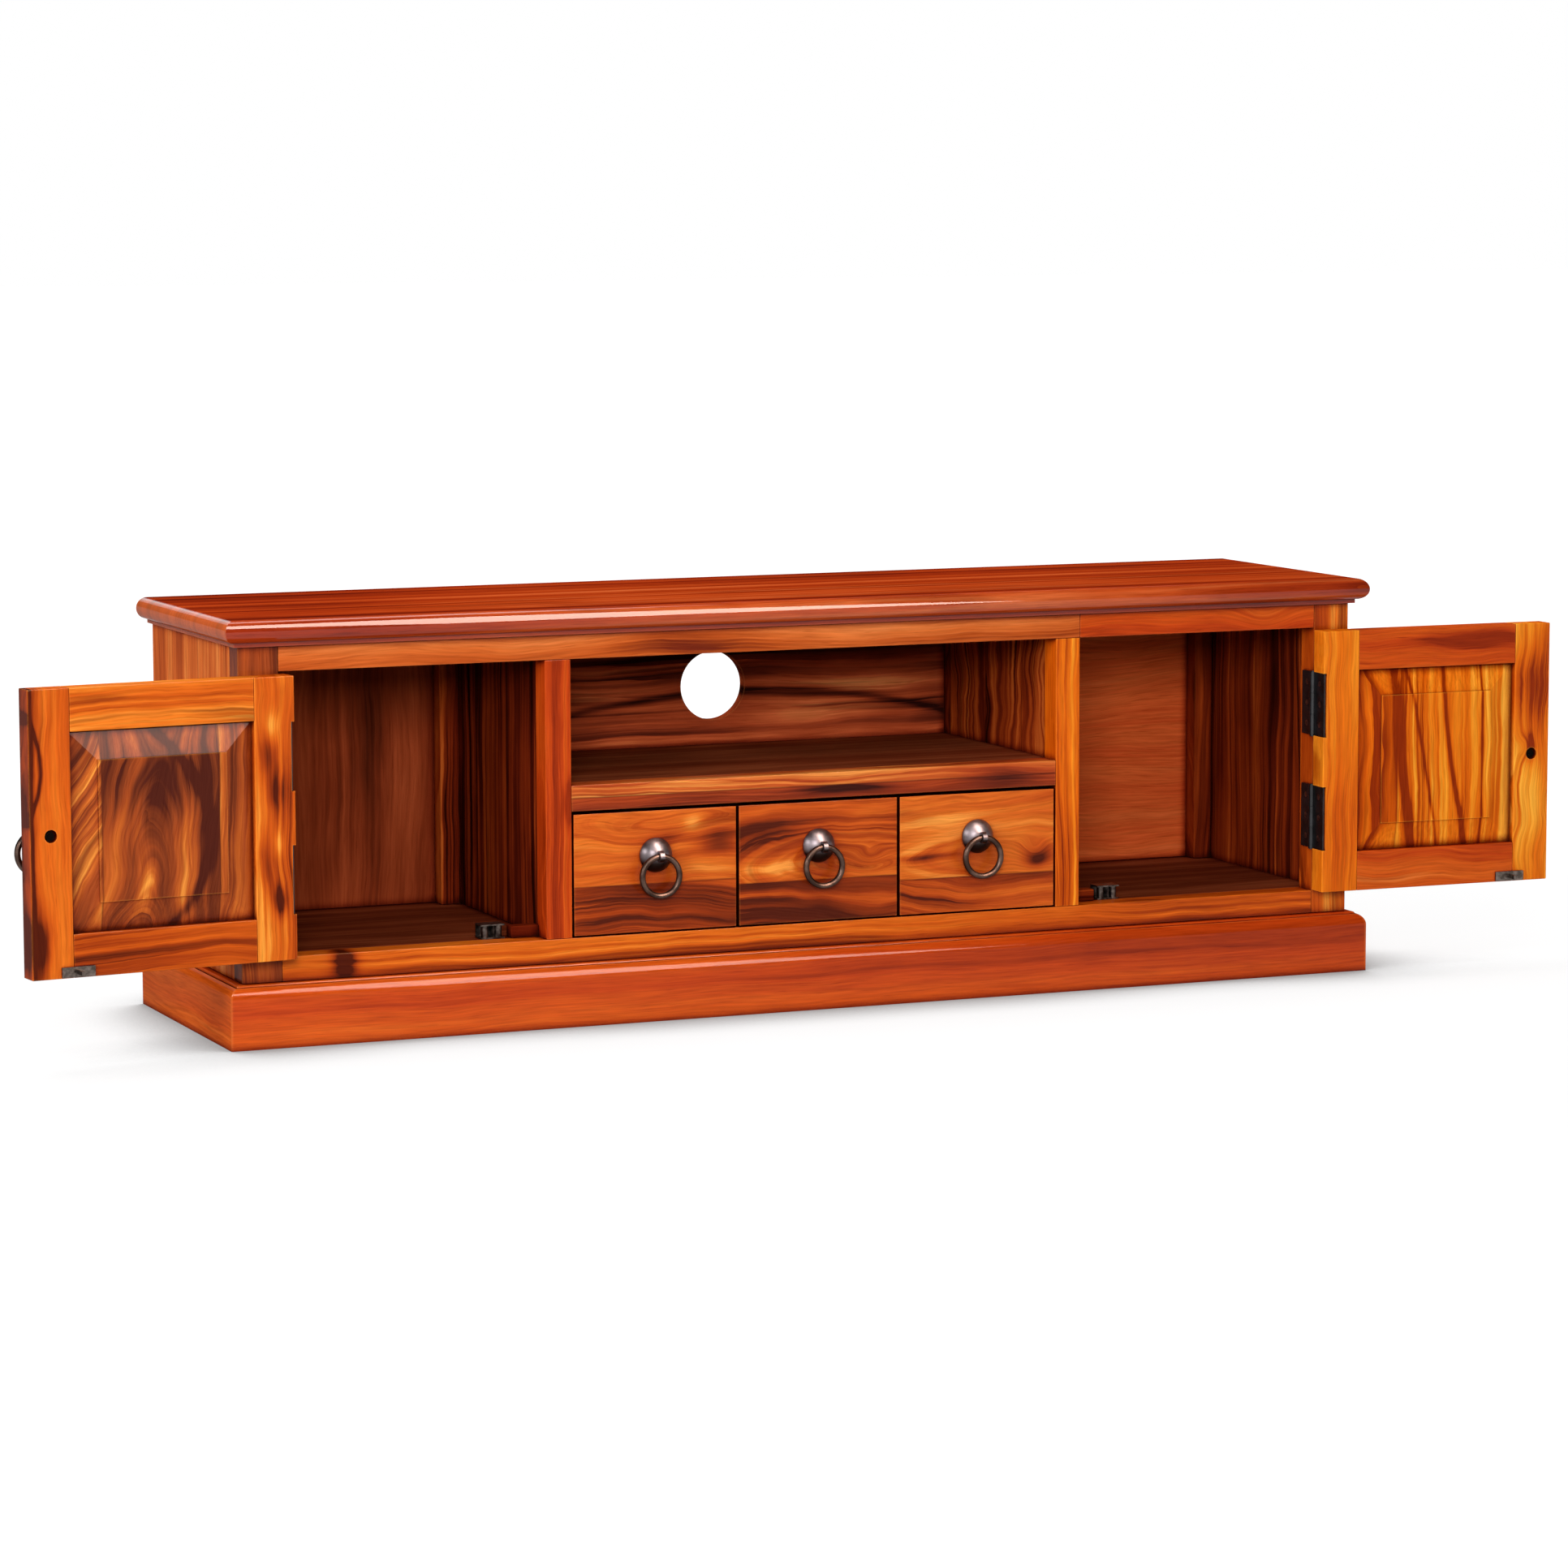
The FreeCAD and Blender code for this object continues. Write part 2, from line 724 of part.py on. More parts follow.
def make_cabinet():
    """Everything that stays still."""
    make_top()
    make_plinth()
    pilots = {}
    leaves = []
    pins = []
    screws = []
    catches = []
    stops = []
    stop_near = FRONT + S.door_thickness + S.stop_gap
    for side, sign in SIDES.items():
        axis_x = HINGE_X * sign
        plate = mirror(sign, HINGE_X + LEAF_NEAR, HINGE_X + LEAF_FAR)
        pilots[side] = []
        for middle in hinge_middles():
            points = screw_rows((HINGE_X + LEAF_NEAR) * sign, FRONT + S.leaf_width / 2, middle)
            holes = [screw(point, sign, S.screw_gap) for point in points]
            pilots[side] += holes
            leaves.append(leaf((0, 2), middle, axis_x, plate, (HINGE_Y, FRONT), holes))
            screws += [screw(point, sign, ZERO) for point in points]
            low = middle - S.hinge_height / 2
            heads = [low - S.pin_head_height, low + S.hinge_height]
            pin = [rod(S.pin_radius, S.hinge_height, (axis_x, HINGE_Y, low))]
            pin += [rod(S.pin_head_radius, S.pin_head_height, (axis_x, HINGE_Y, z)) for z in heads]
            pins.append(fuse(pin))
        catches += make_catch(sign)
        across = mirror(sign, STILE_OUT, STILE_OUT + S.stop_length)
        stops.append(board(across, (stop_near, stop_near + S.stop_depth), (FLOOR, FLOOR + S.stop_height)))
    keep("hinge_leaves_post", group(leaves))
    keep("hinge_pins", group(pins))
    keep("hinge_screws_post", group(screws))
    keep("roller_catches", group(catches))
    keep("door_stops", group(stops))
    make_frame(pilots)
    make_carcass()
    make_runners()


# Doors

def raised_face(sign, x, z, base, top):
    """Sloping face of a door panel, from the groove's tongue to the raised field."""
    slope = S.bevel_width
    wide = (x[0], x[1], z[0], z[1])
    narrow = (x[0] + slope, x[1] - slope, z[0] + slope, z[1] - slope)
    near, far = (wide, narrow) if sign > 0 else (narrow, wide)
    low, high = (base, top) if sign > 0 else (top, base)
    solid = doc.addObject("Part::Wedge", "slope")
    names = ("Xmin", "Xmax", "Zmin", "Zmax")
    for name, size in zip(names, near):
        bind(solid, name, size)
    for name, size in zip(names, far):
        bind(solid, name[0] + "2" + name[1:], size)
    bind(solid, "Ymin", low)
    bind(solid, "Ymax", high)
    return solid


def make_panel(sign):
    """Raised panel: tongue all round, slopes and a stepped field on both faces."""
    play = S.panel_play
    tongue_x = mirror(-sign, OPENING_HINGE - S.door_groove + play, OPENING_FREE + S.door_groove - play)
    tongue_z = (OPENING_LOW - S.door_groove, OPENING_HIGH + S.door_groove - play)
    x = mirror(-sign, OPENING_HINGE, OPENING_FREE)
    z = (OPENING_LOW, OPENING_HIGH)
    slope = S.bevel_width
    field_x = (x[0] + slope, x[1] - slope)
    field_z = (z[0] + slope, z[1] - slope)
    pieces = [block(tongue_x, around(FACE_MID, S.tongue), tongue_z)]
    for face in SIDES.values():
        base = FACE_MID + S.tongue / 2 * face
        high = FACE_MID + (S.door_thickness / 2 - S.field_recess) * face
        top = high - S.field_step * face
        pieces.append(raised_face(face, x, z, base, top))
        step = (top, high) if face > 0 else (high, top)
        pieces.append(block(field_x, step, field_z))
    return fuse(pieces)


def make_rail(sign, low, high, groove):
    """Door rail with stub tenons, grooved for the panel."""
    thick = (FACE_OUT, FACE_IN)
    tongue = around(FACE_MID, S.tongue)
    tenon_x = mirror(-sign, OPENING_HINGE - S.door_groove, OPENING_FREE + S.door_groove)
    rail = board(mirror(-sign, OPENING_HINGE, OPENING_FREE), thick, (low, high))
    return cut(fuse([rail, block(tenon_x, tongue, (low, high))]), [block(tenon_x, tongue, groove)])


def make_strike(sign):
    """Catch strike: plate on the inner face and the spear that enters the catch."""
    middle = SPEAR_EDGE * -sign
    plate_in = FACE_IN + S.strike_sheet
    tip = plate_in + S.spear_length
    thick = around(SPEAR_Z, S.spear_thickness)
    return fuse([
        block(around(middle, S.strike_width), (FACE_IN, plate_in), around(SPEAR_Z, S.strike_height)),
        block(around(middle, S.spear_width), (plate_in, tip), thick),
        block(around(middle, S.spear_head_width), (tip - S.spear_head_length, tip), thick),
    ])


def make_door(side, sign, opened):
    """One door, modelled shut about its hinge axis and then swung open."""
    thick = (FACE_OUT, FACE_IN)
    tall = (DOOR_LOW, DOOR_HIGH)
    tongue = around(FACE_MID, S.tongue)
    plate = mirror(-sign, LEAF_NEAR, LEAF_FAR)
    leaves = []
    screws = []
    pockets = [block(mirror(-sign, OPENING_HINGE - S.door_groove, OPENING_HINGE), tongue, tall)]
    for middle in hinge_middles():
        points = screw_rows(LEAF_NEAR * -sign, FACE_OUT + S.leaf_width / 2, middle)
        holes = [screw(point, -sign, S.screw_gap) for point in points]
        leaves.append(leaf((1,), middle, ZERO, plate, (ZERO, FACE_OUT), holes))
        screws += [screw(point, -sign, ZERO) for point in points]
        room = around(middle, S.hinge_height + S.mortise_gap * 2)
        pockets.append(block(mirror(-sign, EDGE_HINGE, LEAF_FAR), thick, room))
        pockets += holes
    hinge_stile = board(mirror(-sign, EDGE_HINGE, OPENING_HINGE), thick, tall)
    pull = make_pull((EDGE_FREE - S.door_stile / 2) * -sign, FACE_OUT, DOOR_MID - S.door_pull_drop, S.door_thickness)
    pull_stile = board(mirror(-sign, OPENING_FREE, EDGE_FREE), thick, tall)
    groove = block(mirror(-sign, OPENING_FREE, OPENING_FREE + S.door_groove), tongue, tall)
    rails = [
        make_rail(sign, DOOR_LOW, OPENING_LOW, (OPENING_LOW - S.door_groove, OPENING_LOW)),
        make_rail(sign, OPENING_HIGH, DOOR_HIGH, (OPENING_HIGH, OPENING_HIGH + S.door_groove)),
    ]
    door = f"door_{side}"
    pieces = [
        keep(f"{door}_hinge_stile", cut(hinge_stile, pockets)),
        keep(f"{door}_pull_stile", cut(pull_stile, [groove] + pull.holes)),
        keep(f"{door}_rails", group(rails)),
        keep(f"{door}_panel", make_panel(sign)),
        keep(f"{door}_hinge_leaves", group(leaves)),
        keep(f"{door}_hinge_screws", group(screws)),
        keep(f"{door}_pull", pull.hardware),
        keep(f"{door}_ring", group([pull.ring])),
        keep(f"{door}_strike", make_strike(sign)),
    ]
    for piece in pieces:
        place(piece, HINGE_X * sign, HINGE_Y, ZERO)
        bind(piece, "Placement.Rotation.Angle", opened * sign)


# Drawers

def make_drawer(name, step):
    """One drawer: flush front with a ring pull, and a grooved box behind it."""
    middle = PITCH * step
    wall = S.drawer_wall
    floor_low = BOX_LOW + S.bottom_lift
    floor_top = floor_low + S.drawer_bottom
    inside = BOX_HALF - wall
    bottom_x = around(middle, (inside + S.bottom_groove) * 2)
    bottom_y = (BOX_FRONT - S.bottom_groove, BOX_BACK)
    bottom = block(bottom_x, bottom_y, (floor_low, floor_top))
    pull = make_pull(middle, FRONT, DRAWER_LOW + S.drawer_pull_rise, S.drawer_front)
    face = board(around(middle, FRONT_WIDTH), (FRONT, BOX_FRONT), (DRAWER_LOW, DRAWER_HIGH))
    walls = []
    for sign in SIDES.values():
        low, high = mirror(sign, inside, BOX_HALF)
        wall_board = board((middle + low, middle + high), (BOX_FRONT, BOX_BACK), (BOX_LOW, BOX_TOP))
        walls.append(cut(wall_board, [bottom]))
    back_z = (floor_top, BOX_TOP - S.drawer_back_drop)
    walls.append(board(around(middle, inside * 2), (BOX_BACK - wall, BOX_BACK), back_z))
    drawer = f"drawer_{name}"
    keep(f"{drawer}_front", cut(face, [bottom] + pull.holes))
    keep(f"{drawer}_box", group(walls + [bottom]))
    keep(f"{drawer}_pull", pull.hardware)
    keep(f"{drawer}_ring", pull.ring)


def write_parts():
    """Stop if anything is broken, then write every sub-part."""
    doc.recompute()
    broken = [item.Label for item in doc.Objects if {"Invalid", "Error"} & set(item.State)]
    for node, solid in parts.items():
        if solid.Shape.isNull() or not solid.Shape.isValid() or not solid.Shape.Solids:
            broken.append(node)
    for item in doc.Objects:
        if item.TypeId == "PartDesign::Pocket" and item.Shape.Volume >= item.BaseFeature.Shape.Volume:
            broken.append(item.Label)
    if broken:
        raise RuntimeError("broken pieces: " + ", ".join(broken))
    os.makedirs("parts", exist_ok=True)
    for node, solid in parts.items():
        solid.Shape.exportStep(f"parts/{node}.step")


make_cabinet()
for side, opened in (("left", S.left_open_angle), ("right", S.right_open_angle)):
    make_door(side, SIDES[side], opened)
for name, step in DRAWERS.items():
    make_drawer(name, step)
write_parts()
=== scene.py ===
"""Looks of a low television cabinet in figured, lacquered hardwood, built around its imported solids."""

import logging
import math
from dataclasses import dataclass, field, replace
from enum import Enum
from typing import ClassVar

import bpy
import numpy as np
from mathutils import Matrix, Vector

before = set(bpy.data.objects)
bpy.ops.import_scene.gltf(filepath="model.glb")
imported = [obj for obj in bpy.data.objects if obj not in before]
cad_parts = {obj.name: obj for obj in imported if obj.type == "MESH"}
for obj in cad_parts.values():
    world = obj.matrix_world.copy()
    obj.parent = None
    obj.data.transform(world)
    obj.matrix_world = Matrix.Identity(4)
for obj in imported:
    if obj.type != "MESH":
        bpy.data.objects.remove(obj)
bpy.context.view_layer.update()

log = logging.getLogger("cabinet")

Socket = bpy.types.NodeSocket
Value = float | Socket
Span = tuple[float, float]
Point = tuple[float, float, float]
Colour = tuple[float, float, float, float]
WHITE: Colour = (1.0, 1.0, 1.0, 1.0)
ORIGIN: Point = (0.0, 0.0, 0.0)


class Axis(Enum):
    """A direction in a board's own frame."""

    X = 0
    Y = 1
    Z = 2


def linear(code: str) -> Colour:
    """Linear colour of a display colour.

    Args:
        code: six hexadecimal digits, red first.

    Returns:
        Red, green, blue and an alpha of one.
    """
    levels = np.array([int(code[at:at + 2], 16) for at in (0, 2, 4)]) / 255.0
    dark = levels / 12.92
    light = ((levels + 0.055) / 1.055) ** 2.4
    return tuple(float(level) for level in np.where(levels <= 0.04045, dark, light)) + (1.0,)


class Graph:
    """Node tree of a material or a world, with short ways to add the nodes that the looks use."""

    def __init__(self, owner: bpy.types.Material | bpy.types.World) -> None:
        """Start with an empty tree."""
        owner.use_nodes = True
        self.owner = owner
        self.tree = owner.node_tree
        self.tree.nodes.clear()

    def node(self, kind: str, **settings: object) -> bpy.types.Node:
        """Add a node and set its properties.

        Args:
            kind: the node's type, without its Shader prefix.
            settings: property names and values.

        Returns:
            The new node.
        """
        made = self.tree.nodes.new("ShaderNode" + kind)
        for name, value in settings.items():
            setattr(made, name, value)
        return made

    def feed(self, socket: Socket, value: object) -> None:
        """Link a socket, or set its own value."""
        if isinstance(value, Socket):
            self.tree.links.new(value, socket)
        else:
            socket.default_value = value

    def math(self, operation: str, *values: Value) -> Socket:
        """Result of a Math node on numbers or sockets."""
        made = self.node("Math", operation=operation)
        for socket, value in zip(made.inputs, values):
            self.feed(socket, value)
        return made.outputs[0]

    def add(self, *values: Value) -> Socket:
        """Sum of numbers and sockets."""
        total = values[0]
        for value in values[1:]:
            total = self.math("ADD", total, value)
        return total

    def times(self, first: Value, second: Value) -> Socket:
        """Product of two numbers or sockets."""
        return self.math("MULTIPLY", first, second)

    def scaled(self, value: Socket, factor: float, shift: float = 0.0) -> Socket:
        """A value times a factor plus a shift."""
        return self.math("MULTIPLY_ADD", value, factor, shift)

    def about(self, value: Socket, span: float) -> Socket:
        """Noise from zero to one, turned into a value from minus half to plus half a span."""
        return self.scaled(value, span, -span / 2)

    def length(self, first: Socket, second: Socket) -> Socket:
        """Length of the vector of two sockets."""
        return self.math("SQRT", self.add(self.times(first, first), self.times(second, second)))

    def hill(self, value: Socket, middle: float, width: float) -> Socket:
        """Bell curve of a value: one at its middle, with a given half width."""
        far = self.scaled(value, 1.0 / width, -middle / width)
        return self.math("EXPONENT", self.scaled(self.times(far, far), -1.0))

    def step(self, value: Socket, low: float, high: float, first: float = 0.0, last: float = 1.0) -> Socket:
        """Smooth step of a value, from a first level at low to a last level at high."""
        made = self.node("MapRange", interpolation_type="SMOOTHSTEP")
        for socket, number in zip(made.inputs, (value, low, high, first, last)):
            self.feed(socket, number)
        return made.outputs[0]

    def vector(self, x: Value, y: Value, z: Value) -> Socket:
        """Vector of three numbers or sockets."""
        made = self.node("CombineXYZ")
        for socket, value in zip(made.inputs, (x, y, z)):
            self.feed(socket, value)
        return made.outputs[0]

    def parts(self, vector: Socket) -> list[Socket]:
        """Sockets of a vector's three parts."""
        made = self.node("SeparateXYZ")
        self.feed(made.inputs[0], vector)
        return list(made.outputs)

    def noise(self, place: Socket, detail: float = 2.0, rough: float = 0.5, scale: float = 1.0) -> Socket:
        """Noise in space, from zero to one about a middle of a half."""
        made = self.node("TexNoise", noise_dimensions="3D")
        self.feed(made.inputs["Vector"], place)
        self.feed(made.inputs["Scale"], scale)
        self.feed(made.inputs["Detail"], detail)
        self.feed(made.inputs["Roughness"], rough)
        return made.outputs["Fac"]

    def line_noise(self, place: Socket, detail: float, rough: float) -> Socket:
        """Noise along a line, from zero to one about a middle of a half."""
        made = self.node("TexNoise", noise_dimensions="1D")
        self.feed(made.inputs["W"], place)
        self.feed(made.inputs["Scale"], 1.0)
        self.feed(made.inputs["Detail"], detail)
        self.feed(made.inputs["Roughness"], rough)
        return made.outputs["Fac"]

    def random(self, index: Socket) -> Socket:
        """Number from zero to one for each whole number."""
        made = self.node("TexWhiteNoise", noise_dimensions="1D")
        self.feed(made.inputs["W"], index)
        return made.outputs["Value"]

    def openness(self, distance: float, samples: int, **settings: bool) -> Socket:
        """Share of a surface's surroundings that is open within a distance."""
        made = self.node("AmbientOcclusion", samples=samples, **settings)
        self.feed(made.inputs["Distance"], distance)
        return made.outputs["AO"]

    def ramp(self, value: Socket, stops: list[tuple[float, Colour]]) -> Socket:
        """Colour of a value between stops of position and colour."""
        made = self.node("ValToRGB")
        elements = made.color_ramp.elements
        while len(elements) < len(stops):
            elements.new(0.5)
        for element, (position, colour) in zip(elements, stops):
            element.position = position
            element.color = colour
        self.feed(made.inputs[0], value)
        return made.outputs[0]

    def mix(self, share: Value, first: object, second: object, blend: str = "MIX") -> Socket:
        """Two colours mixed or blended by a share."""
        made = self.node("Mix", data_type="RGBA", blend_type=blend)
        self.feed(made.inputs[0], share)
        self.feed(made.inputs[6], first)
        self.feed(made.inputs[7], second)
        return made.outputs[2]

    def own_place(self, origin: Point, turn: float) -> list[Socket]:
        """Object coordinates in a board's own frame.

        Args:
            origin: the frame's origin, in metres.
            turn: the frame's turn about the vertical, in radians.

        Returns:
            Sockets of the three coordinates.
        """
        place = self.node("TexCoord")
        frame_of = self.node("Mapping", vector_type="TEXTURE")
        self.feed(frame_of.inputs["Vector"], place.outputs["Object"])
        self.feed(frame_of.inputs["Location"], origin)
        self.feed(frame_of.inputs["Rotation"], (0.0, 0.0, turn))
        return self.parts(frame_of.outputs[0])

    def facing(self) -> list[Socket]:
        """Sockets of the three parts of the surface's normal, in the object's frame."""
        return self.parts(self.node("TexCoord").outputs["Normal"])

    def rays(self) -> tuple[Socket, Socket]:
        """One for rays that leave the camera, and one for rays that were mirrored or passed through."""
        path = self.node("LightPath").outputs
        return path["Is Camera Ray"], self.math("MAXIMUM", path["Is Glossy Ray"], path["Is Transmission Ray"])

    def close(self, shader: Socket, kind: str = "OutputMaterial") -> None:
        """Link a shader to the tree's output."""
        self.feed(self.node(kind).inputs[0], shader)

    def finish(self, height: Socket, depth: float, **sockets: object) -> bpy.types.Material:
        """Close a material with a Principled shader.

        Args:
            height: surface relief.
            depth: the relief's depth in metres.
            sockets: values of the shader's sockets, with _ for a space.

        Returns:
            The finished material.
        """
        shader = self.node("BsdfPrincipled")
        for name, value in sockets.items():
            self.feed(shader.inputs[name.replace("_", " ")], value)
        bump = self.node("Bump")
        self.feed(bump.inputs["Height"], height)
        self.feed(bump.inputs["Distance"], depth)
        self.feed(shader.inputs["Normal"], bump.outputs[0])
        self.close(shader.outputs[0])
        return self.owner


@dataclass(frozen=True)
class Colours:
    """Five tones of one board, from its darkest streak to its lightest band."""

    deep: str
    dark: str
    middle: str
    warm: str
    light: str
    places: ClassVar[tuple[float, ...]] = (0.05, 0.3, 0.5, 0.7, 0.95)

    def stops(self) -> list[tuple[float, Colour]]:
        """Position and colour of each tone in a ramp."""
        codes = (self.deep, self.dark, self.middle, self.warm, self.light)
        return list(zip(self.places, map(linear, codes)))


HONEY = Colours("4e1604", "a03a0a", "c65410", "d86c1a", "ee9838")
GOLD = Colours("8a2a04", "cf5608", "e06e10", "ec8c20", "faae3a")
RUSSET = Colours("5c1406", "8e280c", "a23610", "b4461a", "cc6a38")
PLINTH = Colours("8c2806", "b63c0c", "c44c10", "cc5a18", "dc7430")
FLAME = Colours("4a1a0e", "7a3416", "9c441a", "bc5c20", "e6923a")
UMBER = Colours("220602", "561708", "7c290c", "9a3c12", "be5c22")
TAWNY = Colours("6a200a", "ae4a16", "c45e24", "d07034", "de8c50")
SEPIA = Colours("2c0e06", "501c0c", "622612", "723018", "884224")
BROWN = Colours("4a1a0c", "7c3016", "964020", "a84c28", "bc6034")
FIGURED = Colours("2a0e0a", "742c18", "aa4624", "cc6034", "e88a4c")
EMBER = Colours("3a120a", "7e2c14", "a8401a", "c45a24", "ea9444")
SIDING = Colours("8a340e", "b24c18", "c65c22", "d46c2c", "e68a42")
AMBER = Colours("501a0a", "9a3810", "c05016", "d66a20", "ee943e")
CLAY = Colours("8c2812", "b63c1c", "c84e22", "d05c2a", "dc7440")
# Dark brown of the painted shade in enclosed places.
CREVICE_SHADE = "1c0804"
# Near black painted on the sunk nuts as the shade in their holes.
HOLE_SHADE = "0e0a08"


@dataclass(frozen=True)
class Knot:
    """A place where the grain bends round: along and across the board from its centre, in metres."""

    along: float
    across: float
    length: float
    width: float
    push: float


@dataclass(frozen=True)
class Patch:
    """A soft patch of a darker or lighter tone, along and across the board from its centre, in metres."""

    along: float
    across: float
    length: float
    width: float
    tone: float


@dataclass(frozen=True)
class Vein:
    """A line in the figure: where it crosses the board's middle, its slant and bow along the grain, and its width."""

    across: float
    slant: float
    bow: float
    width: float
    tone: float


@dataclass(frozen=True)
class Stave:
    """One board of a glued panel: where it starts across the panel, its tone, and its grain's slant and drift."""

    start: float
    tone: float
    slant: float = 0.0
    drift: float = 0.0


@dataclass(frozen=True)
class Timber:
    """Lacquered hardwood cut from one log: growth bands about a pith, seen on the board's faces.

    Attributes:
        colours: the board's tones.
        grain, face: directions of the grain and of the wide face.
        bands: slow growth bands in a metre.
        pith: its offset across the board and below the face, in metres.
        lean: how much the pith sinks for each metre along the grain.
        wander, swirl: reach of the grain's slow and quick bends, in metres.
        reach: slow bends in a metre along the grain.
        gain, mottle: contrast of the bands and of soft clouds.
        tone: shift towards the light tones.
        streak: strength of the thin dark lines.
        strips: width of the glued strips in metres, or zero for one board.
        seed: place in the log.
        rough, polish: roughness of the wood and of its lacquer.
        coat: weight of the lacquer.
        crevice_shade, crevice_reach: strength and reach of the painted shade in enclosed places.
        edge: strength of the lighter outer edges, for rubbed wear and a painted highlight.
        side: share of the deep tone, as painted shade, on faces that look across the board.
        end: share of the light tone on end grain.
        worn: share of the coat that is left on the flat face.
        lining, inside: tones of the inner face, and the sign of its depth.
        second, joint: tones of a board that follows along the grain, and where it starts.
        knots, patches, veins, staves: marks of the figure.
    """

    colours: Colours = HONEY
    grain: Axis = Axis.X
    face: Axis = Axis.Y
    bands: float = 30.0
    pith: Span = (0.3, 0.05)
    lean: float = 0.0
    wander: float = 0.016
    reach: float = 4.0
    swirl: float = 0.004
    gain: float = 1.5
    mottle: float = 0.8
    tone: float = 0.0
    streak: float = 0.6
    strips: float = 0.0
    seed: float = 1.0
    rough: float = 0.5
    coat: float = 0.12
    polish: float = 0.15
    crevice_shade: float = 0.95
    crevice_reach: float = 0.01
    edge: float = 0.35
    side: float = 0.0
    end: float = 0.0
    worn: float = 1.0
    lining: Colours | None = None
    inside: float = 1.0
    second: Colours | None = None
    joint: float = 0.0
    knots: tuple[Knot, ...] = ()
    patches: tuple[Patch, ...] = ()
    veins: tuple[Vein, ...] = ()
    staves: tuple[Stave, ...] = ()

    def material(self, name: str, origin: Point, turn: float) -> bpy.types.Material:
        """Material of one board.

        Args:
            name: the material's name.
            origin: the board's centre.
            turn: the board's turn about the vertical.

        Returns:
            The material.
        """
        graph = Graph(bpy.data.materials.new(name))
        place = graph.own_place(origin, turn)
        across = ({axis.value for axis in Axis} - {self.grain.value, self.face.value}).pop()
        return Figure(self, graph, place[self.grain.value], place[across], place[self.face.value]).material()


@dataclass(frozen=True)
class Weave:
    """Noise stretched along the grain: waves in a metre along and across it, and its detail."""

    along: float
    across: float
    detail: float = 2.0


CLOUD = Weave(5.0, 15.0, 3.0)
SWAY = Weave(4.0, 24.0)
FIBRE = Weave(22.0, 520.0)
PORE = Weave(45.0, 1100.0, 1.0)


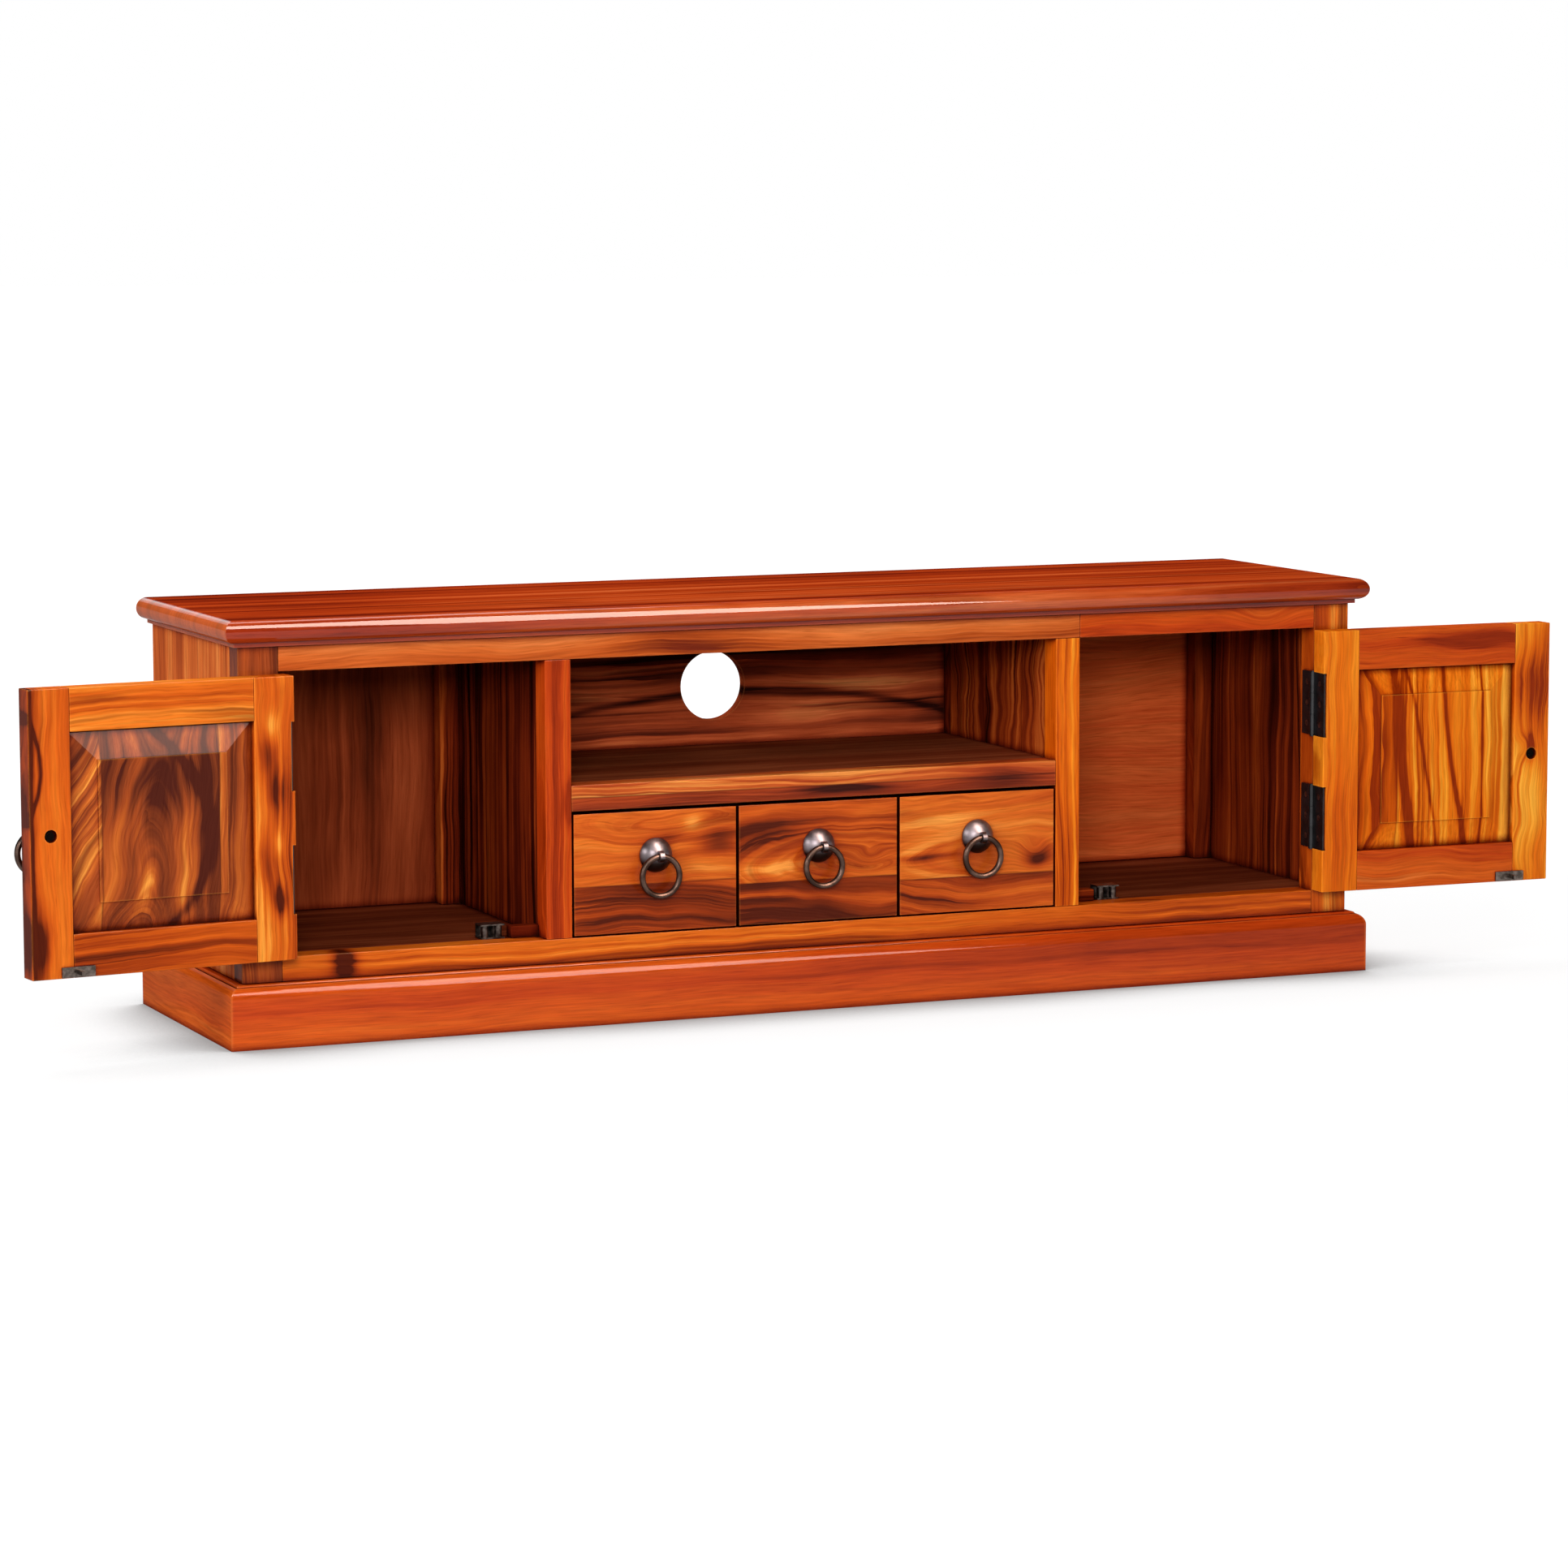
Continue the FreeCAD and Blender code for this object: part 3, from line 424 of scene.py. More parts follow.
@dataclass
class Figure:
    """Grain and colour of one board while its material is made.

    The growth bands are noise along the distance from the pith, which lies at an offset across and
    below the face and leans along the grain; each ring darkens outwards and ends in a sharp edge.
    Slow noise makes the grain wander, quicker noise makes it swirl, and knots push it aside. Thin
    dark lines run where another line of noise crosses its middle. Strips and staves shift the figure
    and meet in dark seams. Painted shade darkens and reddens the wood where the surface is enclosed,
    and outer edges turn lighter, for rubbed wear and a painted highlight.
    """

    timber: Timber
    graph: Graph
    along: Socket
    across: Socket
    depth: Socket
    seams: list[tuple[Socket, float]] = field(default_factory=list)

    middle: ClassVar[float] = 0.5
    seed_step: ClassVar[float] = 7.31
    strip_step: ClassVar[float] = 1.37
    strip_tones: ClassVar[float] = 0.3
    strip_seam: ClassVar[float] = 0.0011
    strip_dark: ClassVar[float] = 0.7
    stave_step: ClassVar[float] = 0.83
    stave_seam: ClassVar[float] = 0.0009
    stave_dark: ClassVar[float] = 0.6
    slow_waves: ClassVar[float] = 7.0
    quick_waves: ClassVar[float] = 19.0
    quick_rate: ClassVar[float] = 2.6
    sway_span: ClassVar[Span] = (0.3, 0.7)
    fine_rate: ClassVar[float] = 5.0
    fine_gain: ClassVar[float] = 1.1
    ring_rate: ClassVar[float] = 2.4
    ring_cloud: ClassVar[float] = 1.6
    ring_power: ClassVar[float] = 3.0
    ring_dark: ClassVar[float] = 0.32
    vein_waver: ClassVar[float] = 0.006
    heart_rate: ClassVar[float] = 1.3
    heart_shift: ClassVar[float] = 3.0
    heart_width: ClassVar[float] = 0.03
    heart_span: ClassVar[Span] = (0.45, 0.9)
    lining_span: ClassVar[Span] = (0.006, 0.008)
    pore_span: ClassVar[Span] = (0.6, 0.78)
    pore_dark: ClassVar[float] = 0.3
    fibre_base: ClassVar[float] = 0.52
    fibre_warmth: ClassVar[float] = 0.25
    fibre_depth: ClassVar[float] = 0.00008
    rim_reach: ClassVar[float] = 0.0018
    rim_span: ClassVar[Span] = (0.85, 0.45)
    side_shade_span: ClassVar[Span] = (0.6, 0.3)
    end_span: ClassVar[Span] = (0.3, 0.8)
    nose_span: ClassVar[Span] = (0.995, 0.9)
    nose_loss: ClassVar[float] = 0.7
    crevice_shade_span: ClassVar[Span] = (0.35, 0.95)
    crevice_shade_red: ClassVar[float] = 0.8

    def __post_init__(self) -> None:
        """Start with straight grain and an even tone."""
        self.run = self.along
        self.bent = self.across
        self.drift: Value = -self.timber.pith[0]
        self.shade: Value = self.timber.tone + self.middle
        self.shift = self.timber.seed * self.seed_step

    def weave(self, weave: Weave, across: Socket, shift: float = 0.0) -> Socket:
        """Noise stretched along the grain."""
        g = self.graph
        place = g.vector(g.scaled(self.run, weave.along, shift), g.scaled(across, weave.across),
                         g.scaled(self.depth, weave.across))
        return g.noise(place, detail=weave.detail)

    def spot(self, mark: Knot | Patch, across: Socket) -> Socket:
        """Bell curve about the place of a knot or a patch."""
        g = self.graph
        return g.times(g.hill(self.along, mark.along, mark.length), g.hill(across, mark.across, mark.width))

    def lay_strips(self) -> None:
        """Cut the board into even strips, each from another place in the log."""
        g, wood = self.graph, self.timber
        cells = g.scaled(self.across, 1.0 / wood.strips, wood.seed)
        index = g.math("FLOOR", cells)
        self.run = g.add(self.run, g.scaled(index, self.strip_step))
        self.shade = g.scaled(g.random(index), self.strip_tones, wood.tone + self.middle - self.strip_tones / 2)
        part = g.math("FRACT", cells)
        near = g.math("MINIMUM", part, g.math("SUBTRACT", 1.0, part))
        self.seams.append((g.step(near, self.strip_seam / wood.strips, 0.0), self.strip_dark))

    def lay_staves(self) -> None:
        """Glue the board from staves, each with its own tone, slant and distance from the pith."""
        g, staves = self.graph, self.timber.staves
        for before, stave in zip(staves, staves[1:]):
            past = g.math("GREATER_THAN", self.across, stave.start)
            self.run = g.add(self.run, g.scaled(past, self.stave_step))
            self.shade = g.add(self.shade, g.scaled(past, stave.tone - before.tone))
            self.drift = g.add(self.drift, g.scaled(past, stave.drift - before.drift))
            self.bent = g.add(self.bent, g.times(self.along, g.scaled(past, stave.slant - before.slant)))
            self.seams.append((g.hill(self.across, stave.start, self.stave_seam), self.stave_dark))
        for first in staves[:1]:
            self.shade = g.add(self.shade, first.tone)
            self.drift = g.add(self.drift, first.drift)
            self.bent = g.add(self.bent, g.scaled(self.along, first.slant))

    def bend(self) -> None:
        """Let the grain wander and swirl, and run round the knots."""
        g, wood = self.graph, self.timber
        slow = self.weave(Weave(wood.reach, self.slow_waves), self.across, self.shift)
        fast = Weave(wood.reach * self.quick_rate, self.quick_waves, detail=3.0)
        self.quick = self.weave(fast, self.across, self.shift)
        self.bent = g.add(self.bent, g.about(slow, wood.wander * 2), g.about(self.quick, wood.swirl * 2))
        for knot in wood.knots:
            self.bent = g.add(self.bent, g.scaled(self.spot(knot, self.across), knot.push))
        side = g.add(self.bent, self.drift)
        sink = g.add(g.scaled(self.depth, 1.0, wood.pith[1]), g.scaled(self.along, wood.lean))
        self.radius = g.length(side, sink)

    def bands(self, rate: float, detail: float, rough: float = 0.55, shift: float = 0.0) -> Socket:
        """Noise along the distance from the pith."""
        g = self.graph
        return g.line_noise(g.scaled(self.radius, self.timber.bands * rate, self.shift + shift), detail, rough)

    def tone(self) -> Socket:
        """Tone of the wood: growth bands, rings with a sharp edge, and soft clouds."""
        g, wood = self.graph, self.timber
        broad = self.bands(rate=1.0, detail=2.0)
        narrow = self.bands(self.fine_rate, detail=4.0, rough=0.65)
        cloud = self.weave(CLOUD, self.bent, self.shift)
        self.sway = g.step(self.weave(SWAY, self.bent, -self.shift), *self.sway_span)
        count = g.add(g.scaled(self.radius, wood.bands * self.ring_rate, self.shift),
                      g.scaled(cloud, self.ring_cloud))
        late = g.times(g.math("POWER", g.math("FRACT", count), self.ring_power), g.random(g.math("FLOOR", count)))
        figure = g.add(g.about(broad, wood.gain), g.times(g.about(narrow, wood.gain * self.fine_gain), self.sway),
                       g.scaled(g.times(late, self.sway), -wood.gain * self.ring_dark))
        return g.add(self.shade, figure, g.about(cloud, wood.mottle))

    def marked(self, tone: Socket) -> Socket:
        """Tone with the board's patches and veins."""
        g = self.graph
        for patch in self.timber.patches:
            tone = g.add(tone, g.scaled(self.spot(patch, self.bent), patch.tone))
        for vein in self.timber.veins:
            path = g.math("MULTIPLY_ADD", g.scaled(self.along, -vein.bow, -vein.slant), self.along, self.across)
            near = g.add(path, g.about(self.quick, self.vein_waver))
            tone = g.add(tone, g.scaled(g.hill(near, vein.across, vein.width), vein.tone))
        return tone

    def pigment(self, tone: Socket) -> Socket:
        """Colour of a tone, with a lining or a second board, and thin dark lines."""
        g, wood = self.graph, self.timber
        colour = g.ramp(tone, wood.colours.stops())
        if wood.lining:
            within = g.step(g.scaled(self.depth, wood.inside), *self.lining_span)
            colour = g.mix(within, colour, g.ramp(tone, wood.lining.stops()))
        if wood.second:
            beyond = g.math("GREATER_THAN", self.along, wood.joint)
            colour = g.mix(beyond, colour, g.ramp(tone, wood.second.stops()))
        heart = self.bands(self.heart_rate, detail=1.0, shift=self.heart_shift)
        thin = g.times(g.hill(heart, self.middle, self.heart_width), g.step(self.sway, *self.heart_span))
        return g.mix(g.scaled(thin, wood.streak), colour, linear(wood.colours.deep))

    def grained(self, colour: Socket) -> Socket:
        """Colour with fine fibres, pores and the seams between glued boards."""
        g = self.graph
        self.fibre = self.weave(FIBRE, self.bent)
        pore = g.step(self.weave(PORE, self.bent, self.shift), *self.pore_span)
        grey = g.add(g.scaled(self.fibre, 1.0, self.fibre_base), g.scaled(pore, -self.pore_dark))
        warmth = self.fibre_warmth
        tint = g.vector(g.scaled(grey, 1.0 - warmth, warmth), grey, g.scaled(grey, 1.0 + warmth, -warmth))
        colour = g.mix(1.0, colour, tint, "MULTIPLY")
        for seam, share in self.seams:
            colour = g.mix(g.scaled(seam, share), colour, linear(self.timber.colours.deep))
        return colour

    def worn_and_highlit_edges(self, colour: Socket) -> Socket:
        """Colour that turns to the light tone on outer edges, for rubbed wear and a painted highlight."""
        g, wood = self.graph, self.timber
        # Rubbed wear and painted highlight: outer edges found by inward ambient occlusion turn to the light tone.
        rim = g.openness(self.rim_reach, samples=4, inside=True, only_local=True)
        return g.mix(g.scaled(g.step(rim, *self.rim_span), wood.edge), colour, linear(wood.colours.light))

    def cut_faces(self, colour: Socket) -> tuple[Socket, Value]:
        """Colour with painted shade on the sides and lighter end grain, and the coat of flat faces and round edges.
        """
        g, wood = self.graph, self.timber
        facing = g.facing()
        # Painted shade: faces that look across the board, such as the drawer fronts' sides in their gaps, take the
        # deep tone.
        turned = g.step(g.math("ABSOLUTE", facing[wood.face.value]), *self.side_shade_span)
        colour = g.mix(g.scaled(turned, wood.side), colour, linear(wood.colours.deep))
        cut = g.step(g.math("ABSOLUTE", facing[wood.grain.value]), *self.end_span)
        colour = g.mix(g.scaled(cut, wood.end), colour, linear(wood.colours.light))
        if wood.worn == 1.0:
            return colour, wood.coat
        round_edge = g.step(g.math("ABSOLUTE", facing[wood.face.value]), *self.nose_span)
        nosing = g.times(round_edge, g.scaled(cut, -self.nose_loss, 1.0))
        return colour, g.scaled(nosing, wood.coat * (1.0 - wood.worn), wood.coat * wood.worn)

    def painted_shade(self, colour: Socket) -> Socket:
        """Colour with painted shade: it turns red and then dark where the surface is enclosed."""
        g, wood = self.graph, self.timber
        # Painted shade: ambient occlusion from this and nearby pieces darkens and reddens corners, joints and the
        # wood round the pulls.
        clear = g.step(g.openness(wood.crevice_reach, samples=6), *self.crevice_shade_span)
        closed = g.scaled(clear, -wood.crevice_shade, wood.crevice_shade)
        red = g.scaled(closed, -self.crevice_shade_red, 1.0)
        colour = g.mix(1.0, colour, g.vector(1.0, red, red), "MULTIPLY")
        return g.mix(closed, colour, linear(CREVICE_SHADE))

    def material(self) -> bpy.types.Material:
        """The board's finished material."""
        wood = self.timber
        if wood.strips:
            self.lay_strips()
        self.lay_staves()
        self.bend()
        colour = self.grained(self.pigment(self.marked(self.tone())))
        if wood.edge:
            colour = self.worn_and_highlit_edges(colour)
        coat: Value = wood.coat
        if wood.side or wood.end or wood.worn < 1.0:
            colour, coat = self.cut_faces(colour)
        return self.graph.finish(self.fibre, self.fibre_depth, Base_Color=self.painted_shade(colour), Roughness=wood.rough,
                                 Specular_IOR_Level=0.0, Coat_Weight=coat, Coat_Roughness=wood.polish)


@dataclass(frozen=True)
class Metal:
    """Finished metal with a slight patina.

    Attributes:
        colour, worn: the main tone and the tone of its patches.
        metallic: share of bare metal.
        rough: mean roughness.
        grain, depth: patches in a metre, and their relief in metres.
        low: dark tone, as painted shade, of faces that look down, if they have one.
    """

    colour: str
    worn: str
    metallic: float = 1.0
    rough: float = 0.35
    grain: float = 90.0
    depth: float = 0.00003
    low: str = ""

    patch_span: ClassVar[Span] = (0.35, 0.7)
    low_shade_span: ClassVar[Span] = (0.0, -0.45)
    dull_span: ClassVar[float] = 0.2
    fine_rate: ClassVar[float] = 9.0
    fine_share: ClassVar[float] = 0.4

    def material(self, name: str, origin: Point = ORIGIN, turn: float = 0.0,
                 sunk: float = 9.0) -> bpy.types.Material:
        """Material of that metal: two tones mixed by noise, with fine relief.

        Args:
            name: the material's name.
            origin: origin of the piece's own frame.
            turn: the frame's turn about the vertical.
            sunk: beyond this distance along the frame's second axis the metal is painted near black, as shade in a
                hole.

        Returns:
            The material.
        """
        g = Graph(bpy.data.materials.new(name))
        place = g.own_place(origin, turn)
        spot = g.vector(*place)
        patch = g.noise(spot, detail=4.0, rough=0.6, scale=self.grain)
        fine = g.noise(spot, scale=self.grain * self.fine_rate)
        colour = g.mix(g.step(patch, *self.patch_span), linear(self.colour), linear(self.worn))
        if self.low:
            # Painted shade: faces that look down take the dark low tone.
            colour = g.mix(g.step(g.facing()[Axis.Z.value], *self.low_shade_span), colour, linear(self.low))
        # Painted shade: beyond the sunk distance the nuts are painted near black.
        colour = g.mix(g.math("GREATER_THAN", place[Axis.Y.value], sunk), colour, linear(HOLE_SHADE))
        dull = g.scaled(patch, self.dull_span, self.rough - self.dull_span / 2)
        relief = g.add(patch, g.scaled(fine, self.fine_share))
        return g.finish(relief, self.depth, Base_Color=colour, Roughness=dull, Metallic=self.metallic)


# The pulls' low tone is painted shade on the faces that look down.
PULL_BRONZE = Metal("60585a", "7a7073", rough=0.38, low="241814")
RING_BRONZE = Metal("382a24", "58463e", rough=0.36)
HINGE_BLACK = Metal("0c0c0e", "18181b", metallic=0.3, rough=0.36)
SCREW_STEEL = Metal("6a6a6c", "9c9c9e", rough=0.32, grain=300.0)
CATCH_STEEL = Metal("2a2422", "5d5550", rough=0.34, grain=200.0)
STRIKE_STEEL = Metal("4a423c", "746a64", rough=0.3, grain=200.0)


def paint(node: str, material: bpy.types.Material) -> None:
    """Put one material on every slot of a CAD node."""
    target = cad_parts[node]
    if not target.material_slots:
        target.data.materials.append(material)
    for place in target.material_slots:
        place.material = material


@dataclass
class Assembly:
    """Boards of one sub-assembly, which keep their CAD shape and get a wood each."""

    name: str
    turn: float = 0.0

    def woods(self) -> dict[str, Timber]:
        """Wood of each board."""
        return {}

    def centre(self, node: str) -> Point:
        """Centre of a node's box in the frame that is turned by the assembly's angle.

        Args:
            node: the CAD node.

        Returns:
            The centre in metres, in the cabinet's frame.
        """
        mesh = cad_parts[node].data
        points = np.empty(len(mesh.vertices) * 3)
        mesh.vertices.foreach_get("co", points)
        turned = np.array(Matrix.Rotation(self.turn, 3, "Z"))
        own = points.reshape(-1, 3) @ turned
        middle = (own.min(axis=0) + own.max(axis=0)) / 2
        return tuple(float(value) for value in turned @ middle)

    def dress(self) -> None:
        """Give each board its own wood."""
        woods = self.woods()
        for node, timber in woods.items():
            paint(node, timber.material(f"{node}_wood", self.centre(node), self.turn))
        log.info("%s: %d boards", self.name, len(woods))


@dataclass
class Carcass(Assembly):
    """Top, face frame, panels and plinth."""

    name: str = "carcass"
    strips: float = 0.085

    def frame_woods(self) -> dict[str, Timber]:
        """Wood of the face frame and the posts."""
        rail = Timber(HONEY, Axis.X, Axis.Y, gain=1.0, mottle=0.6, streak=0.4)
        upright = Timber(HONEY, Axis.Z, Axis.Y)
        return {
            "top_rails": replace(
                rail, colours=TAWNY, second=PLINTH, joint=0.282, seed=4.1,
                knots=(Knot(0.49, 0.0, 0.03, 0.02, 0.012),),
                patches=(Patch(0.45, 0.0, 0.22, 0.2, -0.15), Patch(-0.13, 0.0, 0.07, 0.03, -0.2))),
            "bottom_rail": replace(
                rail, seed=5.3, tone=0.06,
                patches=(Patch(-0.484, 0.002, 0.011, 0.016, -0.9), Patch(0.5, 0.0, 0.3, 1.0, -0.22))),
            "shelf_rail": replace(
                rail, colours=EMBER, tone=0.08, gain=1.3, seed=6.7,
                staves=(Stave(-1.0, -0.15), Stave(0.0, 0.06)),
                patches=(Patch(0.03, -0.004, 0.05, 0.004, -0.6), Patch(0.2, 0.0, 0.04, 0.01, -0.4))),
            "post_left": replace(upright, colours=FLAME, tone=0.05, seed=7.9),
            "post_right": replace(upright, seed=8.3),
            "divider_stile_left": replace(
                upright, colours=PLINTH, seed=9.1, streak=0.4, tone=-0.15,
                patches=(Patch(-0.004, 0.012, 0.018, 0.005, -1.0),)),
            "divider_stile_right": replace(upright, colours=GOLD, seed=10.7, gain=1.2, streak=0.3, tone=-0.08),
        }

    def shell_woods(self) -> dict[str, Timber]:
        """Wood of the sides, dividers, shelves and backs."""
        outer = Timber(SIDING, Axis.Z, Axis.X, strips=self.strips, tone=0.12, seed=11.3, gain=1.1, streak=0.4,
                       coat=0.04, lining=UMBER)
        inner = Timber(UMBER, Axis.Z, Axis.X, strips=self.strips, coat=0.0)
        ledge = replace(inner, grain=Axis.X, face=Axis.Z, colours=SEPIA, gain=0.7, streak=0.2)
        back = replace(inner, face=Axis.Y, strips=0.0)
        return {
            "side_panel_left": outer,
            # The dark patch at the back edge is painted shade in the rear corner of the right compartment.
            "side_panel_right": replace(
                outer, seed=12.9, gain=1.8, tone=0.0, inside=-1.0, coat=0.0,
                patches=(Patch(0.0, 0.105, 1.0, 0.03, -0.4),)),
            "divider_panel_left": replace(inner, seed=13.4, tone=-0.1),
            "divider_panel_right": replace(inner, seed=14.8, gain=1.8, wander=0.03, reach=10.0, swirl=0.008),
            "shelf_board": replace(ledge, seed=15.2, tone=0.3),
            "floor_board": replace(ledge, seed=16.6, tone=0.1),
            # The left back's darker palette and tone are partly painted shade of the left compartment.
            "back_panel_left": replace(back, colours=BROWN, gain=0.6, streak=0.1, tone=-0.15, seed=17.1),
            # The dark patch along the top is partly figure and partly painted shade under the top rail.
            "back_panel_centre": replace(
                back, grain=Axis.X, colours=FIGURED, gain=1.3, reach=3.0, seed=18.5,
                patches=(Patch(0.17, 0.0625, 0.08, 0.012, 0.4), Patch(0.12, 0.03, 0.1, 0.012, 0.35),
                         Patch(0.0, 0.13, 0.5, 0.04, -0.25)),
                veins=(Vein(0.0542, 0.0263, -0.544, 0.004, -0.4),)),
            # The right back's lighter palette and tone are partly painted light in the right compartment.
            "back_panel_right": replace(
                back, grain=Axis.X, colours=CLAY, gain=0.5, mottle=0.3, streak=0.1, tone=0.15, seed=19.3),
            "rear_battens": replace(back, seed=20.3),
        }

    def base_woods(self) -> dict[str, Timber]:
        """Wood of the top board, the plinth and the pieces that it hides."""
        base = Timber(PLINTH, Axis.Y, Axis.X, gain=0.6, streak=0.12, mottle=0.35, coat=0.06)
        plain = Timber(UMBER, Axis.X, Axis.Y, coat=0.0, rough=0.7, streak=0.2, edge=0.0)
        top = Timber(RUSSET, Axis.X, Axis.Z, bands=40, pith=(0.5, 0.05), wander=0.012, reach=1.4, swirl=0.001,
                     gain=1.1, strips=0.1, seed=3.2, streak=0.4, mottle=0.4, coat=0.6, polish=0.05, end=0.5,
                     worn=0.012,
                     patches=(Patch(-0.5, 0.0, 0.15, 0.2, -0.25), Patch(0.1, -0.147, 0.7, 0.012, 0.2),
                              Patch(0.4, 0.02, 0.3, 0.1, -0.12)))
        return {
            "top_board": top,
            "plinth_front": replace(
                base, grain=Axis.X, face=Axis.Y, seed=21.7, reach=2.4, coat=0.25, polish=0.08,
                patches=(Patch(0.6, 0.0, 0.6, 1.0, -0.2),)),
            "plinth_left": replace(base, seed=22.1, tone=0.1),
            "plinth_right": replace(base, seed=23.1),
            "plinth_back": replace(plain, seed=24.1),
            "plinth_bearers": replace(plain, grain=Axis.Y, face=Axis.Z, seed=25.1),
            "drawer_runners": replace(plain, grain=Axis.Y, face=Axis.X, seed=26.1),
            "door_stops": replace(plain, seed=27.1),
        }

    def woods(self) -> dict[str, Timber]:
        """Wood of every board of the carcass."""
        return {**self.frame_woods(), **self.shell_woods(), **self.base_woods()}


@dataclass
class Drawer(Assembly):
    """Front of two glued staves, and the box behind it.

    Attributes:
        seed: place in the log.
        split: height of the joint between the staves, from the front's middle.
        eye: middle of the rings in the upper stave, along and across the front.
        lean: how steeply the pith leaves the front there.
        tone: shift towards the light tones.
        knots, patches: marks of the front.
    """

    seed: float = 31.0
    split: float = -0.02
    eye: Span = (0.04, 0.047)
    lean: float = 0.35
    tone: float = 0.0
    knots: tuple[Knot, ...] = ()
    patches: tuple[Patch, ...] = ()
    skin: ClassVar[float] = 0.012

    def woods(self) -> dict[str, Timber]:
        """Wood of the front, with rings about the eye in its upper stave, and of the box."""
        along, across = self.eye
        # Painted shade on the fronts: side darkens their sides in the gaps between drawers, and the wide
        # crevice_reach darkens the wood round the ring pulls.
        front = Timber(AMBER, Axis.X, Axis.Y, pith=(across, self.skin - self.lean * along), lean=self.lean,
                       seed=self.seed, wander=0.02, reach=6.0, swirl=0.006, gain=1.0, tone=self.tone, streak=0.4,
                       side=0.85, crevice_reach=0.03, staves=(Stave(-1.0, -0.15, 0.06, 0.22), Stave(self.split, 0.08)),
                       knots=self.knots, patches=self.patches)
        box = Timber(UMBER, Axis.Y, Axis.X, gain=0.8, streak=0.1, seed=self.seed + 0.5, coat=0.0, rough=0.6, edge=0.0)
        return {f"{self.name}_front": front, f"{self.name}_box": box}


def drawers() -> tuple[Drawer, ...]:
    """The three drawers, each with its own marks."""
    return (
        Drawer("drawer_left", seed=31.0, split=-0.012, eye=(0.04, 0.047), lean=0.16, tone=-0.06,
               patches=(Patch(0.038, 0.043, 0.01, 0.007, 0.4), Patch(0.065, 0.022, 0.022, 0.01, -0.5),
                        Patch(0.05, -0.002, 0.04, 0.005, 0.35), Patch(0.01, 0.032, 0.02, 0.004, -0.35))),
        Drawer("drawer_centre", seed=32.0, split=-0.018, eye=(0.055, -0.002), lean=0.24, tone=-0.22,
               knots=(Knot(0.055, 0.0, 0.02, 0.012, 0.012),),
               patches=(Patch(-0.055, 0.028, 0.04, 0.012, -0.3), Patch(0.06, 0.045, 0.04, 0.008, 0.3),
                        Patch(-0.045, -0.003, 0.035, 0.005, 0.5))),
        Drawer("drawer_right", seed=33.0, split=-0.024, eye=(0.062, -0.004), lean=0.22, tone=0.04,
               knots=(Knot(0.062, -0.004, 0.018, 0.014, 0.014),),
               patches=(Patch(0.066, -0.002, 0.014, 0.012, -0.7), Patch(-0.055, -0.002, 0.035, 0.004, -0.5),
                        Patch(-0.03, 0.035, 0.06, 0.01, 0.25))))


@dataclass
class LeftDoor(Assembly):
    """Frame of orange boards round a dark flamed panel."""

    name: str = "door_left"
    turn: float = math.radians(-174.0)
    hinge: Point = (-0.5425, -0.1375, 0.0)
    seed: float = 41.0

    def woods(self) -> dict[str, Timber]:
        """Wood of the frame and the panel."""
        stile = Timber(HONEY, Axis.Z, Axis.Y, reach=6.0, gain=1.6)
        return {
            "door_left_hinge_stile": replace(
                stile, seed=self.seed + 1, tone=-0.05, wander=0.02, gain=1.2, mottle=1.1,
                patches=(Patch(0.087, 0.003, 0.014, 0.006, 0.5), Patch(0.026, 0.0, 0.02, 0.012, -0.45),
                         Patch(-0.023, -0.004, 0.012, 0.006, 0.35), Patch(-0.076, 0.0, 0.014, 0.007, -0.8),
                         Patch(0.06, 0.012, 0.02, 0.01, -0.4), Patch(-0.045, 0.014, 0.03, 0.008, -0.4))),
            "door_left_pull_stile": replace(
                stile, seed=self.seed + 2, tone=-0.03, gain=0.9, patches=(Patch(-0.1, 0.012, 0.025, 0.008, -0.6),),
                veins=(Vein(0.0175, 0.0, 0.0, 0.0022, -0.6), Vein(0.0261, -0.6, 5.1, 0.002, -0.6))),
            "door_left_rails": replace(
                stile, grain=Axis.X, seed=self.seed + 3, gain=1.0, mottle=0.5,
                patches=(Patch(0.0, 0.112, 0.3, 0.05, 0.2), Patch(0.0, -0.112, 0.3, 0.05, -0.12))),
            "door_left_panel": Timber(
                FLAME, Axis.Z, Axis.Y, bands=34, pith=(0.012, 0.03), lean=0.09, seed=self.seed + 4, wander=0.02,
                reach=6.0, swirl=0.005, gain=1.4, tone=-0.02,
                staves=(Stave(-1.0, 0.2, 0.02, 0.3), Stave(-0.055, -0.05, 0.12), Stave(0.06, 0.1, 0.5, 0.2)),
                patches=(Patch(0.045, 0.0, 0.035, 0.045, -0.5), Patch(-0.05, 0.016, 0.028, 0.011, 0.6),
                         Patch(0.012, 0.022, 0.03, 0.007, 0.3), Patch(-0.06, -0.03, 0.03, 0.012, 0.2)),
                veins=(Vein(-0.046, 0.1, 5.4, 0.006, -0.5),)),
        }


